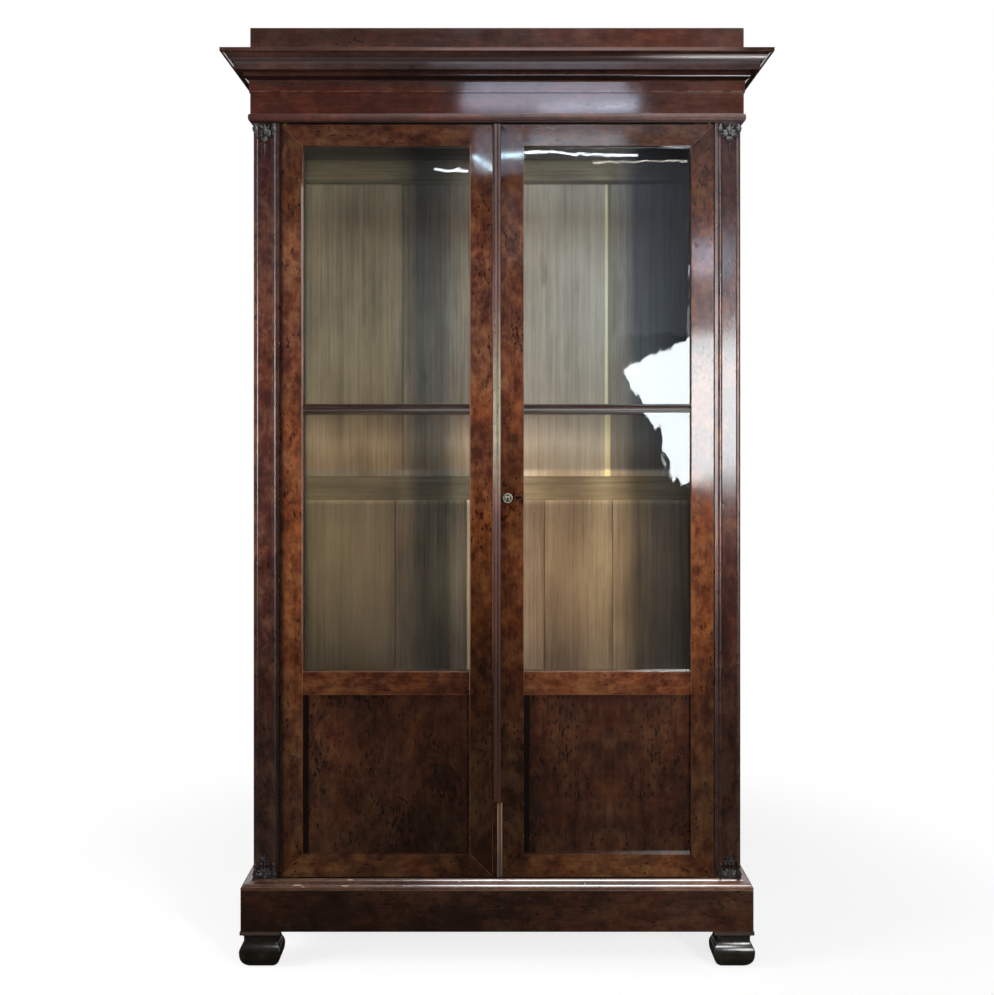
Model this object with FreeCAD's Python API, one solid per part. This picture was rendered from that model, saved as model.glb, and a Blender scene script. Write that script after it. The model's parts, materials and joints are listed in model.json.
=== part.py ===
import FreeCAD, Part
import math
import os

# A tall glazed cabinet for books or display. It stands on four ogee feet under a plinth. Two reeded
# front posts carry a frieze, a mitred cornice and a plain cap. Between the posts hang two framed
# doors on hidden pivots, each with two glazed lights over a flat panel. Inside, notched racks in the
# corners hold cleats, and the cleats hold the shelves.
# X runs along the width, Y from the front to the back and Z up. The origin is on the floor under the
# middle of the cabinet. All sizes are in millimetres.

vector = FreeCAD.Vector

# Every cut passes its stock by this much.
overrun = 5.0

# Carcass, measured over the posts.
carcass_width = 1170.0
carcass_depth = 385.0
post_height = 1813.0

# Feet: blocks with the same ogee on their front and sides, cut flat behind. The front feet are shallow.
foot_width = 104.0
front_foot_depth = 60.0
foot_overhang = 2.0
foot_fillet_height = 7.5
foot_cove_height = 6.0
foot_neck_height = 8.0
foot_neck_inset = 8.5
foot_shoulder_height = 15.0
foot_shoulder_inset = 2.5
foot_belly_height = 16.0
foot_belly_out = 1.0
foot_sole_height = 36.0
foot_sole_inset = 20.0

# Plinth: a box of mitred boards with a moulding on top.
plinth_height = 98.9
plinth_out = 25.0
plinth_thickness = 30.0
plinth_back_thickness = 22.0
plinth_block_width = 60.0
plinth_fillet_height = 6.1
plinth_quirk_out = 22.5
plinth_crest_out = 2.0

# Bottom board and top board.
bottom_board_thickness = 18.6
top_board_thickness = 18.0

# Front posts: a flat band between two reeds, with a plain strip beside the door.
post_width = 62.0
post_depth = 50.0
reed_depth = 3.5
outer_reed_width = 11.0
inner_reed_width = 10.0
post_strip_width = 8.0
post_strip_depth = 1.5
post_band_depth = 1.0

# Back posts, with a rabbet for the back.
back_post_depth = 45.0
back_rabbet_width = 15.0
back_rabbet_depth = 28.0

# Framed sides.
side_rail_thickness = 25.0
side_rail_height = 80.0
side_panel_thickness = 12.0
side_panel_setback = 7.0
panel_tongue = 10.0
panel_play = 1.0

# Framed back of lapped boards.
back_rail_thickness = 22.0
back_top_rail_height = 66.0
back_middle_rail_height = 65.0
back_middle_rail_place = 1091.0
back_bottom_rail_height = 80.0
back_board_thickness = 12.0
back_board_setback = 5.0
board_joint_gap = 1.0
open_joint_gap = 15.0
lap_thickness = 4.0
lap_cover = 6.0

# Frieze with a bead at its foot and a low fascia at its head.
frieze_height = 96.0
frieze_out = 6.0
frieze_inset = 18.0
fascia_height = 26.0
fascia_out = 8.5
frieze_bead_height = 19.0
frieze_bead_fillet = 3.0
frieze_bead_out = 9.0
frieze_back_thickness = 18.0

# Cornice, from the bottom up: bed mould, corona, crown and top fillet.
cove_out = 13.0
cove_height = 4.5
bed_out = 16.0
bed_height = 16.5
corona_out = 38.0
corona_height = 20.0
crown_foot_out = 40.0
crown_lip_out = 50.0
crown_lip_height = 5.0
crown_out = 63.5
crown_height = 9.0
cornice_out = 65.0
cornice_fillet_height = 8.5

# Cap above the cornice, closed by a lid.
cap_height = 66.5
cap_out = 6.0
cap_thickness = 20.0
lid_thickness = 12.0
lid_seat = 10.0

# Doors.
door_thickness = 25.0
door_setback = 4.0
door_side_gap = 2.0
door_bottom_gap = 2.0
door_top_gap = 2.5
meeting_gap = 1.0
outer_stile_width = 53.5
meeting_stile_width = 55.5
door_top_rail_height = 51.0
door_bottom_rail_height = 53.5
door_panel_height = 383.5
lock_rail_height = 56.0
lower_light_height = 623.0
glazing_bar_height = 20.5
bar_fillet_height = 4.0
bar_fillet_depth = 4.5
rabbet_width = 8.0
rabbet_depth = 13.0
infill_play = 1.0
glass_thickness = 3.0
door_panel_thickness = 8.0

# Reeded bead on the right door, over the meeting line. Its lowest stretch is missing.
bead_width = 18.5
bead_side_height = 3.5
bead_quirk_width = 1.5
bead_quirk_height = 4.0
bead_missing_length = 177.0

# Hidden pivots at the head and foot of each door.
pivot_inset = 10.0
pivot_setback = 5.5
pivot_radius = 2.5
pivot_clearance = 0.06
pivot_length = 5.0
pivot_boss_radius = 4.2
pivot_plate_length = 45.0
pivot_plate_width = 9.0
pivot_plate_thickness = 3.0
seat_gap = 0.3
pivot_well_depth = 4.0
pivot_well_play = 1.0

# Stop strip behind the heads of the doors. It ends short of the corners that swing past the pivots.
stop_end_play = 1.0
stop_height = 10.0
stop_depth = 18.0

# Lock in the right meeting stile.
lock_height = 912.0
lock_case_length = 62.0
lock_case_height = 70.0
lock_case_thickness = 14.0
lock_bolt_length = 36.0
lock_bolt_thickness = 7.0
lock_bolt_height = 15.0
bolt_play = 0.3
bolt_setback = 0.5
lock_throw = 8.0
keyhole_radius = 2.6
keyhole_slot_width = 2.4
keyhole_slot_length = 7.0
key_inset = 35.0
escutcheon_radius = 12.0
escutcheon_thickness = 2.0
escutcheon_bevel = 1.2
strike_length = 60.0
strike_thickness = 2.0
strike_width = 14.0
strike_play = 1.2
strike_well_margin = 2.0

# Upright bolts behind the left meeting stile.
rod_radius = 4.0
rod_clearance = 0.1
rod_length = 190.0
rod_standoff = 6.0
rod_tip_gap = 1.0
rod_throw = 10.0
rod_hole_play = 0.5
guide_plate_length = 150.0
guide_plate_width = 24.0
guide_plate_thickness = 2.0
guide_width = 16.0
guide_height = 12.0
guide_wall = 2.5
guide_margin = 6.0
rod_knob_radius = 5.0
rod_knob_length = 8.0

# Notched racks, cleats and shelves. The cleats lie in the notches nearest to the seat heights.
rack_width = 18.0
rack_depth = 22.0
notch_pitch = 50.0
notch_depth = 12.0
notch_slope_height = 32.0
first_notch_height = 48.0
last_notch_margin = 40.0
cleat_height = 20.0
cleat_play = 0.5
lower_shelf_seat_height = 348.0
upper_shelf_seat_height = 1098.0
shelf_thickness = 20.0
shelf_side_play = 2.0
shelf_front_play = 2.0
shelf_corner_play = 1.0

# Cast mounts on the posts.
mount_base_thickness = 2.0
mount_relief = 3.0
mount_edge_margin = 5.0
palmette_height = 30.0
palmette_leaf_width = 9.0
root_knot_radius = 3.5
husk_length = 26.0
husk_width = 13.0
tail_length = 42.0
tail_width = 6.0
palmette_foot_height = 26.0
side_leaf_length = 21.0
side_leaf_width = 9.0
berry_radius = 5.0
bud_length = 21.0
bud_width = 13.0

# How far the curves bow out or in, as shares of their chords.
sole_bow_share = 0.14
shoulder_bow_share = 0.1
neck_bow_share = 0.12
ogee_bow_share = 0.16
reed_bow_share = 0.33
frieze_bead_bow_share = 0.22
cove_bow_share = 0.15
bed_bow_share = 0.3
ovolo_bow_share = 0.18
cavetto_bow_share = 0.16
bar_bow_share = 0.34
meeting_reed_bow_share = 0.42

# Where the joints between the back boards lie across the back, and how far each one has opened.
upper_joint_shares = (0.26, 0.52, 0.775)
upper_joint_gaps = (board_joint_gap, board_joint_gap, open_joint_gap)
lower_joint_shares = (0.24, 0.424, 0.62, 0.794)
lower_joint_gaps = (board_joint_gap, open_joint_gap, board_joint_gap, board_joint_gap)

# How the leaves of a palmette spread, and how much shorter its outermost ones are.
palmette_spread = math.radians(62)
side_leaf_count = 2
palmette_taper_share = 0.3
side_leaf_angle = math.radians(80)
berry_spread_share = 0.8

# Heights, from the floor up.
foot_height = (foot_fillet_height + foot_cove_height + foot_neck_height + foot_shoulder_height
               + foot_belly_height + foot_sole_height)
plinth_top = foot_height + plinth_height
floor_top = plinth_top + bottom_board_thickness
posts_top = floor_top + post_height
frieze_top = posts_top + frieze_height
cornice_height = (cove_height + bed_height + corona_height + crown_lip_height + crown_height
                  + cornice_fillet_height)
cornice_top = frieze_top + cornice_height
cabinet_height = cornice_top + cap_height

# Widths and depths.
half_width = carcass_width / 2
opening_half = half_width - post_width
face_y = (cornice_out - carcass_depth) / 2
back_y = face_y + carcass_depth
back_face_y = back_y - back_rabbet_depth
door_face_y = face_y + door_setback
door_back_y = door_face_y + door_thickness
post_back_y = face_y + post_depth
back_post_y = back_y - back_post_depth
side_inner = half_width - side_rail_thickness
side_panel_outer = half_width - side_panel_setback

# Door outlines. Each door is drawn on the right of the middle, and the left one is then mirrored.
door_outer = opening_half - door_side_gap
door_low = floor_top + door_bottom_gap
door_high = posts_top - door_top_gap
panel_low = door_low + door_bottom_rail_height
panel_high = panel_low + door_panel_height
lower_light_low = panel_high + lock_rail_height
lower_light_high = lower_light_low + lower_light_height
upper_light_low = lower_light_high + glazing_bar_height
upper_light_high = door_high - door_top_rail_height
right_meeting = -bead_width / 2
left_meeting = bead_width / 2 + meeting_gap
pivot_x = door_outer - pivot_inset
pivot_y = door_face_y + pivot_setback
lock_z = floor_top + lock_height
lock_y = door_back_y - lock_case_thickness / 2
swing_radius = math.hypot(pivot_inset, door_back_y - pivot_y)
rod_x = left_meeting + meeting_stile_width / 2
rod_y = door_back_y + rod_standoff


def box(x_range, y_range, z_range):
    """Block between two values on each axis."""
    ranges = (x_range, y_range, z_range)
    size = [max(pair) - min(pair) for pair in ranges]
    return Part.makeBox(*size, vector(*[min(pair) for pair in ranges]))


def rod(radius, start, end):
    """Round bar from one point to another."""
    way = vector(*end) - vector(*start)
    return Part.makeCylinder(radius, way.Length, vector(*start), way)


def mirrored(shape):
    """The same shape on the other side of the middle."""
    return shape.mirror(vector(0, 0, 0), vector(1, 0, 0))


def pair(shape):
    """A shape and its mirror image, as two solids."""
    return [shape, mirrored(shape)]


def outline_face(corners, place):
    """Face inside a closed outline whose corners run anticlockwise.

    A corner is (across, up) or (across, up, bow_share). The side that leads to it bows outward by
    that share of its own length, or inward where the share is negative.
    """
    edges = []
    before = corners[-1]
    for corner in corners:
        across, up = corner[0] - before[0], corner[1] - before[1]
        ends = place(*before[:2]), place(*corner[:2])
        if len(corner) > 2 and corner[2]:
            middle = place(before[0] + across / 2 + up * corner[2],
                           before[1] + up / 2 - across * corner[2])
            edges.append(Part.Arc(ends[0], middle, ends[1]).toShape())
        else:
            edges.append(Part.makeLine(*ends))
        before = corner
    return Part.Face(Part.Wire(edges))


def both_halves(half):
    """Full outline from its right half, listed from the bottom up."""
    bows = [corner[2] if len(corner) > 2 else 0 for corner in half[1:]] + [0]
    left = [(-corner[0], corner[1], bow) for corner, bow in zip(half, bows)]
    return list(half) + left[::-1]


def front_slab(corners, y_low, y_high):
    """Solid whose front view is the outline, between two depths."""
    face = outline_face(corners, lambda across, up: vector(across, y_low, up))
    return face.extrude(vector(0, y_high - y_low, 0))


def side_slab(corners, x_low, x_high):
    """Solid whose side view is the outline, given as (depth, height), between two widths."""
    face = outline_face(corners, lambda depth, up: vector(x_low, depth, up))
    return face.extrude(vector(x_high - x_low, 0, 0))


def post_slab(corners, z_low, z_high):
    """Solid whose plan is the outline, given as (across, projection), between two heights."""
    face = outline_face(corners, lambda across, out: vector(across, face_y - out, z_low))
    return face.extrude(vector(0, 0, z_high - z_low))


def plan_prism(corners):
    """Prism over a plan outline, past both ends of the cabinet's height."""
    face = outline_face(corners, lambda across, depth: vector(across, depth, -overrun))
    return face.extrude(vector(0, 0, cabinet_height + 2 * overrun))


def mitred_run(corners):
    """Front, left and right pieces of a run that goes round the cabinet with mitred corners.

    The corners of its section are (projection from the carcass face, height, bow_share). The mitre
    planes pass through the carcass corners at half a right angle.
    """
    reach = cornice_out + overrun
    end_x, end_y = half_width + reach, face_y - reach
    front_zone = plan_prism([(-end_x, end_y), (end_x, end_y), (0, face_y + half_width)])
    side_zone = plan_prism([(end_x, end_y), (end_x, back_y), (half_width - carcass_depth, back_y)])
    front = outline_face(corners, lambda out, up: vector(-end_x, face_y - out, up))
    front = front.extrude(vector(2 * end_x, 0, 0)).common(front_zone)
    right = outline_face(corners, lambda out, up: vector(half_width + out, end_y, up))
    right = right.extrude(vector(0, back_y - end_y + overrun, 0)).common(side_zone)
    return front, mirrored(right), right


def board_section(inner_out, outer_out, z_low, z_high):
    """Plain rectangular section for a mitred run."""
    return [(inner_out, z_low), (outer_out, z_low), (outer_out, z_high), (inner_out, z_high)]


def foot(centre_x, front_y, cut_y):
    """The part that two crossing ogee extrusions have in common, cut flat behind."""
    centre_y = front_y + foot_width / 2
    half = foot_width / 2
    belly_z = foot_sole_height
    shoulder_z = belly_z + foot_belly_height
    neck_z = shoulder_z + foot_shoulder_height
    cove_z = neck_z + foot_neck_height
    fillet_z = cove_z + foot_cove_height
    section = both_halves([
        (half - foot_sole_inset, 0),
        (half + foot_belly_out, belly_z, sole_bow_share),
        (half - foot_shoulder_inset, shoulder_z, shoulder_bow_share),
        (half - foot_neck_inset, neck_z, -neck_bow_share),
        (half - foot_neck_inset, cove_z),
        (half, fillet_z, -neck_bow_share),
        (half, foot_height),
    ])
    reach = half + foot_belly_out
    front_view = [(out + centre_x, up, *bow) for out, up, *bow in section]
    side_view = [(out + centre_y, up, *bow) for out, up, *bow in section]
    across = front_slab(front_view, centre_y - reach, centre_y + reach)
    along = side_slab(side_view, centre_x - reach, centre_x + reach)
    return across.common(along).common(box((-carcass_width, carcass_width), (-carcass_width, cut_y),
                                           (0, foot_height)))


def feet():
    """Two shallow front feet, and two back feet cut in line with the back of the cabinet."""
    centre_x = half_width + plinth_out + foot_overhang - foot_width / 2
    front_y = face_y - plinth_out - foot_overhang
    return (pair(foot(centre_x, front_y, front_y + front_foot_depth))
            + pair(foot(centre_x, back_y - foot_width, back_y)))


def plinth():
    """Plinth boards, corner blocks and the moulding that closes the step up to the carcass."""
    inner_out = plinth_out - plinth_thickness
    front, left, right = mitred_run(board_section(inner_out, plinth_out, foot_height, plinth_top))
    inside = half_width + inner_out
    back = box((-inside, inside), (back_y - plinth_back_thickness, back_y), (foot_height, plinth_top))
    blocks = []
    for y_low in (face_y - inner_out, back_y - plinth_back_thickness - plinth_block_width):
        block = box((inside - plinth_block_width, inside), (y_low, y_low + plinth_block_width),
                    (foot_height, plinth_top))
        blocks += pair(block)
    fillet_z = plinth_top + plinth_fillet_height
    middle_out = (plinth_quirk_out + plinth_crest_out) / 2
    middle_z = (fillet_z + floor_top) / 2
    moulding = mitred_run([
        (0, plinth_top),
        (plinth_out, plinth_top),
        (plinth_out, fillet_z),
        (plinth_quirk_out, fillet_z),
        (middle_out, middle_z, ogee_bow_share),
        (plinth_crest_out, floor_top, -ogee_bow_share),
        (0, floor_top),
    ])
    save("plinth_front", front)
    save("plinth_sides", left, right)
    save("plinth_back", back)
    save("plinth_blocks", *blocks)
    save("plinth_moulding", *moulding)


def front_post():
    """Right front post: corner reed, flat band, inner reed and a plain strip beside the door."""
    outer = half_width
    inner = opening_half
    band_outer = outer - outer_reed_width
    strip = inner + post_strip_width
    band_inner = strip + inner_reed_width
    plan = [
        (inner, -post_depth),
        (outer, -post_depth),
        (outer, -outer_reed_width / 2),
        (band_outer, -reed_depth, reed_bow_share),
        (band_outer, -post_band_depth),
        (band_inner, -post_band_depth),
        (band_inner, -reed_depth),
        (strip, -reed_depth, reed_bow_share),
        (strip, -post_strip_depth),
        (inner, -post_strip_depth),
    ]
    return post_slab(plan, floor_top, posts_top)


def side_panel():
    """Right side panel, let into the grooves of the posts and rails."""
    reach = panel_tongue - panel_play
    return box((side_panel_outer - side_panel_thickness, side_panel_outer),
               (post_back_y - reach, back_post_y + reach),
               (floor_top + side_rail_height - reach, posts_top - side_rail_height + reach))


def side_groove():
    """Space cut from the right posts and rails for the side panel."""
    return box((side_panel_outer - side_panel_thickness, side_panel_outer),
               (post_back_y - panel_tongue, back_post_y + panel_tongue),
               (floor_top + side_rail_height - panel_tongue, posts_top - side_rail_height + panel_tongue))


def sides():
    """Posts, rails and panels of both sides."""
    groove = side_groove()
    front = front_post().cut(groove)
    back = box((opening_half, half_width), (back_post_y, back_y), (floor_top, posts_top))
    rabbet = box((opening_half - overrun, opening_half + back_rabbet_width), (back_face_y, back_y + overrun),
                 (floor_top - overrun, posts_top + overrun))
    back = back.cut(rabbet).cut(groove)
    rails = []
    for z_low in (floor_top, posts_top - side_rail_height):
        rail = box((side_inner, half_width), (post_back_y, back_post_y), (z_low, z_low + side_rail_height))
        rails += pair(rail.cut(groove))
    panel = side_panel()
    save("right_front_post", front)
    save("left_front_post", mirrored(front))
    save("back_posts", *pair(back))
    save("side_rails", *rails)
    save("right_side_panel", panel)
    save("left_side_panel", mirrored(panel))


def back_boards(z_low, z_high, joint_shares, joint_gaps):
    """Lapped upright boards between two rails. An open joint shows the lap that it covered."""
    reach = opening_half + back_rabbet_width - panel_play
    y_low = back_face_y + back_board_setback
    y_high = y_low + back_board_thickness
    z_range = (z_low - panel_tongue + panel_play, z_high + panel_tongue - panel_play)
    boards = []
    left = -reach
    for share, gap in zip(joint_shares, joint_gaps):
        joint = -reach + 2 * reach * share
        boards.append(box((left, joint), (y_low, y_high), z_range))
        left = joint + gap
    boards.append(box((left, reach), (y_low, y_high), z_range))
    for number, gap in enumerate(joint_gaps):
        joint = boards[number].BoundBox.XMax
        lap = box((joint, joint + gap + lap_cover), (y_high - lap_thickness, y_high), (z_low, z_high))
        boards[number] = boards[number].fuse(lap).removeSplitter()
        boards[number + 1] = boards[number + 1].cut(lap)
    return boards


def back():
    """Rails of the back and the boards between them."""
    reach = opening_half + back_rabbet_width
    y_range = (back_face_y, back_face_y + back_rail_thickness)
    middle_top = back_middle_rail_place + back_middle_rail_height
    bottom_top = floor_top + back_bottom_rail_height
    top_low = posts_top - back_top_rail_height
    groove_y = (y_range[0] + back_board_setback, y_range[0] + back_board_setback + back_board_thickness)
    lower_groove = box((-reach - overrun, reach + overrun), groove_y,
                       (bottom_top - panel_tongue, back_middle_rail_place + panel_tongue))
    upper_groove = box((-reach - overrun, reach + overrun), groove_y,
                       (middle_top - panel_tongue, top_low + panel_tongue))
    rails = []
    for z_low, z_high in ((floor_top, bottom_top), (back_middle_rail_place, middle_top), (top_low, posts_top)):
        rails.append(box((-reach, reach), y_range, (z_low, z_high)).cut(lower_groove).cut(upper_groove))
    save("back_rails", *rails)
    save("upper_back_boards", *back_boards(middle_top, top_low, upper_joint_shares, upper_joint_gaps))
    save("lower_back_boards", *back_boards(bottom_top, back_middle_rail_place, lower_joint_shares,
                                           lower_joint_gaps))


def pivot_plate(z_low):
    """Right pivot plate, without its hole."""
    return box((door_outer - pivot_plate_length, door_outer),
               (pivot_y - pivot_plate_width / 2, pivot_y + pivot_plate_width / 2),
               (z_low, z_low + pivot_plate_thickness))


def carcass_pivot_plates():
    """Plates with a round hole, let into the bottom board and the foot of the frieze."""
    hole = rod(pivot_radius + pivot_clearance, (pivot_x, pivot_y, 0), (pivot_x, pivot_y, cabinet_height))
    lower = pivot_plate(floor_top - pivot_plate_thickness)
    upper = pivot_plate(posts_top)
    return pair(lower.cut(hole)) + pair(upper.cut(hole))


def pivot_recess(surface_z, up):
    """Space for a carcass pivot plate and for the tip of its pin, below or above a surface."""
    plate = pivot_plate(surface_z if up > 0 else surface_z - pivot_plate_thickness)
    depth = pivot_plate_thickness + pivot_well_depth
    well = rod(pivot_radius + pivot_well_play, (pivot_x, pivot_y, surface_z),
               (pivot_x, pivot_y, surface_z + up * depth))
    return plate.fuse(well)


def bottom_and_top():
    """Bottom board, top board and the stop strip behind the heads of the doors."""
    bottom = box((-half_width, half_width), (face_y, back_y), (plinth_top, floor_top))
    for recess in pair(pivot_recess(floor_top, -1)):
        bottom = bottom.cut(recess)
    hole_radius = rod_radius + rod_hole_play
    hole_depth = rod_throw + rod_tip_gap
    bottom = bottom.cut(rod(hole_radius, (-rod_x, rod_y, floor_top + overrun),
                            (-rod_x, rod_y, floor_top - hole_depth)))
    inside = half_width - frieze_inset
    top = box((-inside, inside), (face_y + frieze_inset, back_y - frieze_back_thickness),
              (posts_top, posts_top + top_board_thickness))
    stop_y = door_back_y + seat_gap
    stop_half = pivot_x - swing_radius - stop_end_play
    stop = box((-stop_half, stop_half), (stop_y, stop_y + stop_depth), (posts_top - stop_height, posts_top))
    stop = stop.cut(rod(hole_radius, (-rod_x, rod_y, 0), (-rod_x, rod_y, cabinet_height)))
    save("bottom_board", bottom)
    save("top_board", top)
    save("door_stop", stop)


def frieze():
    """Frieze boards with a low fascia at the head, the back board behind them and the foot bead."""
    fascia_z = frieze_top - fascia_height
    front, left, right = mitred_run([
        (-frieze_inset, posts_top),
        (frieze_out, posts_top),
        (frieze_out, fascia_z),
        (fascia_out, fascia_z),
        (fascia_out, frieze_top),
        (-frieze_inset, frieze_top),
    ])
    for recess in pair(pivot_recess(posts_top, 1)):
        front = front.cut(recess)
    inside = half_width - frieze_inset
    rear = box((-inside, inside), (back_y - frieze_back_thickness, back_y), (posts_top, cornice_top))
    bead_top = posts_top + frieze_bead_height
    bead = mitred_run([
        (frieze_out, posts_top),
        (frieze_bead_out, posts_top),
        (frieze_bead_out, posts_top + frieze_bead_fillet),
        (frieze_bead_out, bead_top, frieze_bead_bow_share),
        (frieze_out, bead_top),
    ])
    save("frieze_front", front)
    save("frieze_returns", left, right, rear)
    save("frieze_bead", *bead)


def cornice():
    """Cornice: cove and bed mould under a flat corona, then a crown of ovolo and cavetto."""
    cove_z = frieze_top + cove_height
    bed_z = cove_z + bed_height
    corona_z = bed_z + corona_height
    lip_z = corona_z + crown_lip_height
    crown_z = lip_z + crown_height
    front, left, right = mitred_run([
        (-frieze_inset, frieze_top),
        (fascia_out, frieze_top),
        (cove_out, cove_z, -cove_bow_share),
        (bed_out, bed_z, bed_bow_share),
        (corona_out, bed_z),
        (corona_out, corona_z),
        (crown_foot_out, corona_z),
        (crown_lip_out, lip_z, ovolo_bow_share),
        (crown_out, crown_z, -cavetto_bow_share),
        (cornice_out, crown_z),
        (cornice_out, cornice_top),
        (-frieze_inset, cornice_top),
    ])
    save("cornice_front", front)
    save("cornice_returns", left, right)


def cap():
    """Plain cap on the cornice, with a lid set in a rabbet so that the faces run to the top."""
    inner_out = cap_out - cap_thickness
    seat_out = inner_out + lid_seat
    seat_z = cabinet_height - lid_thickness
    front, left, right = mitred_run([
        (inner_out, cornice_top),
        (cap_out, cornice_top),
        (cap_out, cabinet_height),
        (seat_out, cabinet_height),
        (seat_out, seat_z),
        (inner_out, seat_z),
    ])
    inside = half_width + inner_out
    rear = box((-inside, inside), (back_y - cap_thickness, back_y), (cornice_top, seat_z))
    lid_half = half_width + seat_out
    lid = box((-lid_half, lid_half), (face_y - seat_out, back_y), (seat_z, cabinet_height))
    save("cap_front", front)
    save("cap_returns", left, right, rear)
    save("cap_lid", lid)


def notch_heights():
    """Seat heights of the notches, from the lowest up."""
    first = floor_top + first_notch_height
    count = int((posts_top - last_notch_margin - notch_slope_height - first) / notch_pitch) + 1
    return [first + number * notch_pitch for number in range(count)]


def rack(root_y, toward):
    """Right rack in front of or behind a post. Its sawtooth notches face toward the other rack."""
    face = root_y + toward * rack_depth
    teeth = []
    for seat in notch_heights():
        teeth += [(face, seat), (face - toward * notch_depth, seat), (face, seat + notch_slope_height)]
    edge = [(root_y, floor_top), (face, floor_top)] + teeth + [(face, posts_top), (root_y, posts_top)]
    if toward < 0:
        edge = edge[::-1]
    return side_slab(edge, side_inner - rack_width, side_inner)


def nearest_notch(seat_height):
    """Seat of the notch nearest to a height above the bottom board."""
    return min(notch_heights(), key=lambda seat: abs(seat - floor_top - seat_height))


def cleat(seat):
    """Right cleat between two racks, with ends cut to the slope of the notches."""
    depth_low = notch_depth - cleat_play
    depth_high = notch_depth * (1 - cleat_height / notch_slope_height) - cleat_play
    front = post_back_y + rack_depth
    rear = back_post_y - rack_depth
    section = [
        (front - depth_low, seat),
        (rear + depth_low, seat),
        (rear + depth_high, seat + cleat_height),
        (front - depth_high, seat + cleat_height),
    ]
    return side_slab(section, side_inner - rack_width, side_inner)


def shelf(z_low):
    """Shelf board with its corners cut out round the racks."""
    reach = side_panel_outer - side_panel_thickness - shelf_side_play
    front = post_back_y + shelf_front_play
    board = box((-reach, reach), (front, back_face_y - panel_play), (z_low, z_low + shelf_thickness))
    corner_x = (side_inner - rack_width - shelf_corner_play, reach + overrun)
    front_corner = box(corner_x, (front - overrun, post_back_y + rack_depth + shelf_corner_play),
                       (z_low - overrun, z_low + shelf_thickness + overrun))
    back_corner_x = (opening_half - shelf_corner_play, reach + overrun)
    post_corner = box(back_corner_x, (back_post_y - shelf_corner_play, back_y),
                      (z_low - overrun, z_low + shelf_thickness + overrun))
    rack_corner = box(corner_x, (back_post_y - rack_depth - shelf_corner_play, back_y),
                      (z_low - overrun, z_low + shelf_thickness + overrun))
    for corner in (front_corner, post_corner, rack_corner):
        for side in pair(corner):
            board = board.cut(side)
    return board


def interior():
    """Four racks, four cleats and two shelves."""
    racks = pair(rack(post_back_y, 1)) + pair(rack(back_post_y, -1))
    low_seat = nearest_notch(lower_shelf_seat_height)
    high_seat = nearest_notch(upper_shelf_seat_height)
    save("shelf_racks", *racks)
    save("shelf_cleats", *pair(cleat(low_seat)), *pair(cleat(high_seat)))
    save("lower_shelf", shelf(low_seat + cleat_height))
    save("upper_shelf", shelf(high_seat + cleat_height))


def leaf(root_x, root_z, angle, length, width, height):
    """Leaf with two bowed edges, from its root along an angle from upright, raised off the post."""
    along = (math.sin(angle), math.cos(angle))
    tip = (root_x + length * along[0], root_z + length * along[1])
    bow = width / 2 / length
    return front_slab([(root_x, root_z, bow), (*tip, bow)], face_y - height, face_y)


def palmette(centre_x, root_z, height, leaf_width, relief):
    """Fan of leaves that open upward from one root."""
    leaves = []
    for step in range(-side_leaf_count, side_leaf_count + 1):
        share = step / side_leaf_count
        length = height * (1 - palmette_taper_share * abs(share))
        leaves.append(leaf(centre_x, root_z, palmette_spread * share, length, leaf_width, relief))
    return leaves


def fused(pieces):
    """One solid from overlapping pieces."""
    return pieces[0].multiFuse(pieces[1:]).removeSplitter()


def head_mount(centre_x):
    """Palmette over a husk and a long thin tail, at the head of the right post."""
    raised = mount_base_thickness + mount_relief
    root_z = posts_top - mount_edge_margin - palmette_height
    tail_z = root_z - husk_length + husk_width / 2
    pieces = palmette(centre_x, root_z, palmette_height, palmette_leaf_width, raised)
    pieces.append(rod(root_knot_radius, (centre_x, face_y - raised, root_z), (centre_x, face_y, root_z)))
    pieces.append(leaf(centre_x, root_z, math.pi, husk_length, husk_width, raised))
    pieces.append(leaf(centre_x, tail_z, math.pi, tail_length, tail_width, mount_base_thickness))
    return fused(pieces)


def foot_mount(centre_x):
    """Palmette with two spreading leaves, two berries and a bud, at the foot of the right post."""
    raised = mount_base_thickness + mount_relief
    root_z = floor_top + mount_edge_margin
    berry_z = root_z + palmette_foot_height + berry_radius / 2
    pieces = palmette(centre_x, root_z, palmette_foot_height, palmette_leaf_width, raised)
    for side in (-1, 1):
        berry_x = centre_x + side * berry_radius * berry_spread_share
        pieces.append(rod(berry_radius, (berry_x, face_y - raised, berry_z), (berry_x, face_y, berry_z)))
        pieces.append(leaf(centre_x, root_z, side * side_leaf_angle, side_leaf_length, side_leaf_width,
                           mount_base_thickness))
    pieces.append(leaf(centre_x, berry_z, 0, bud_length, bud_width, raised))
    return fused(pieces)


def mounts():
    """Cast mounts at the head and foot of each front post, centred on its band."""
    band_width = post_width - outer_reed_width - inner_reed_width - post_strip_width
    centre_x = half_width - outer_reed_width - band_width / 2
    save("post_mounts", *pair(head_mount(centre_x)), *pair(foot_mount(centre_x)))


def mitred_frame(x_range, z_range, width, y_low, y_high):
    """Four mitred strips inside a rectangle."""
    left, right = x_range
    low, high = z_range
    inner_left, inner_right = left + width, right - width
    inner_low, inner_high = low + width, high - width
    outlines = (
        [(left, low), (right, low), (inner_right, inner_low), (inner_left, inner_low)],
        [(right, low), (right, high), (inner_right, inner_high), (inner_right, inner_low)],
        [(right, high), (left, high), (inner_left, inner_high), (inner_right, inner_high)],
        [(left, high), (left, low), (inner_left, inner_low), (inner_left, inner_high)],
    )
    return [front_slab(outline, y_low, y_high) for outline in outlines]


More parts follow.
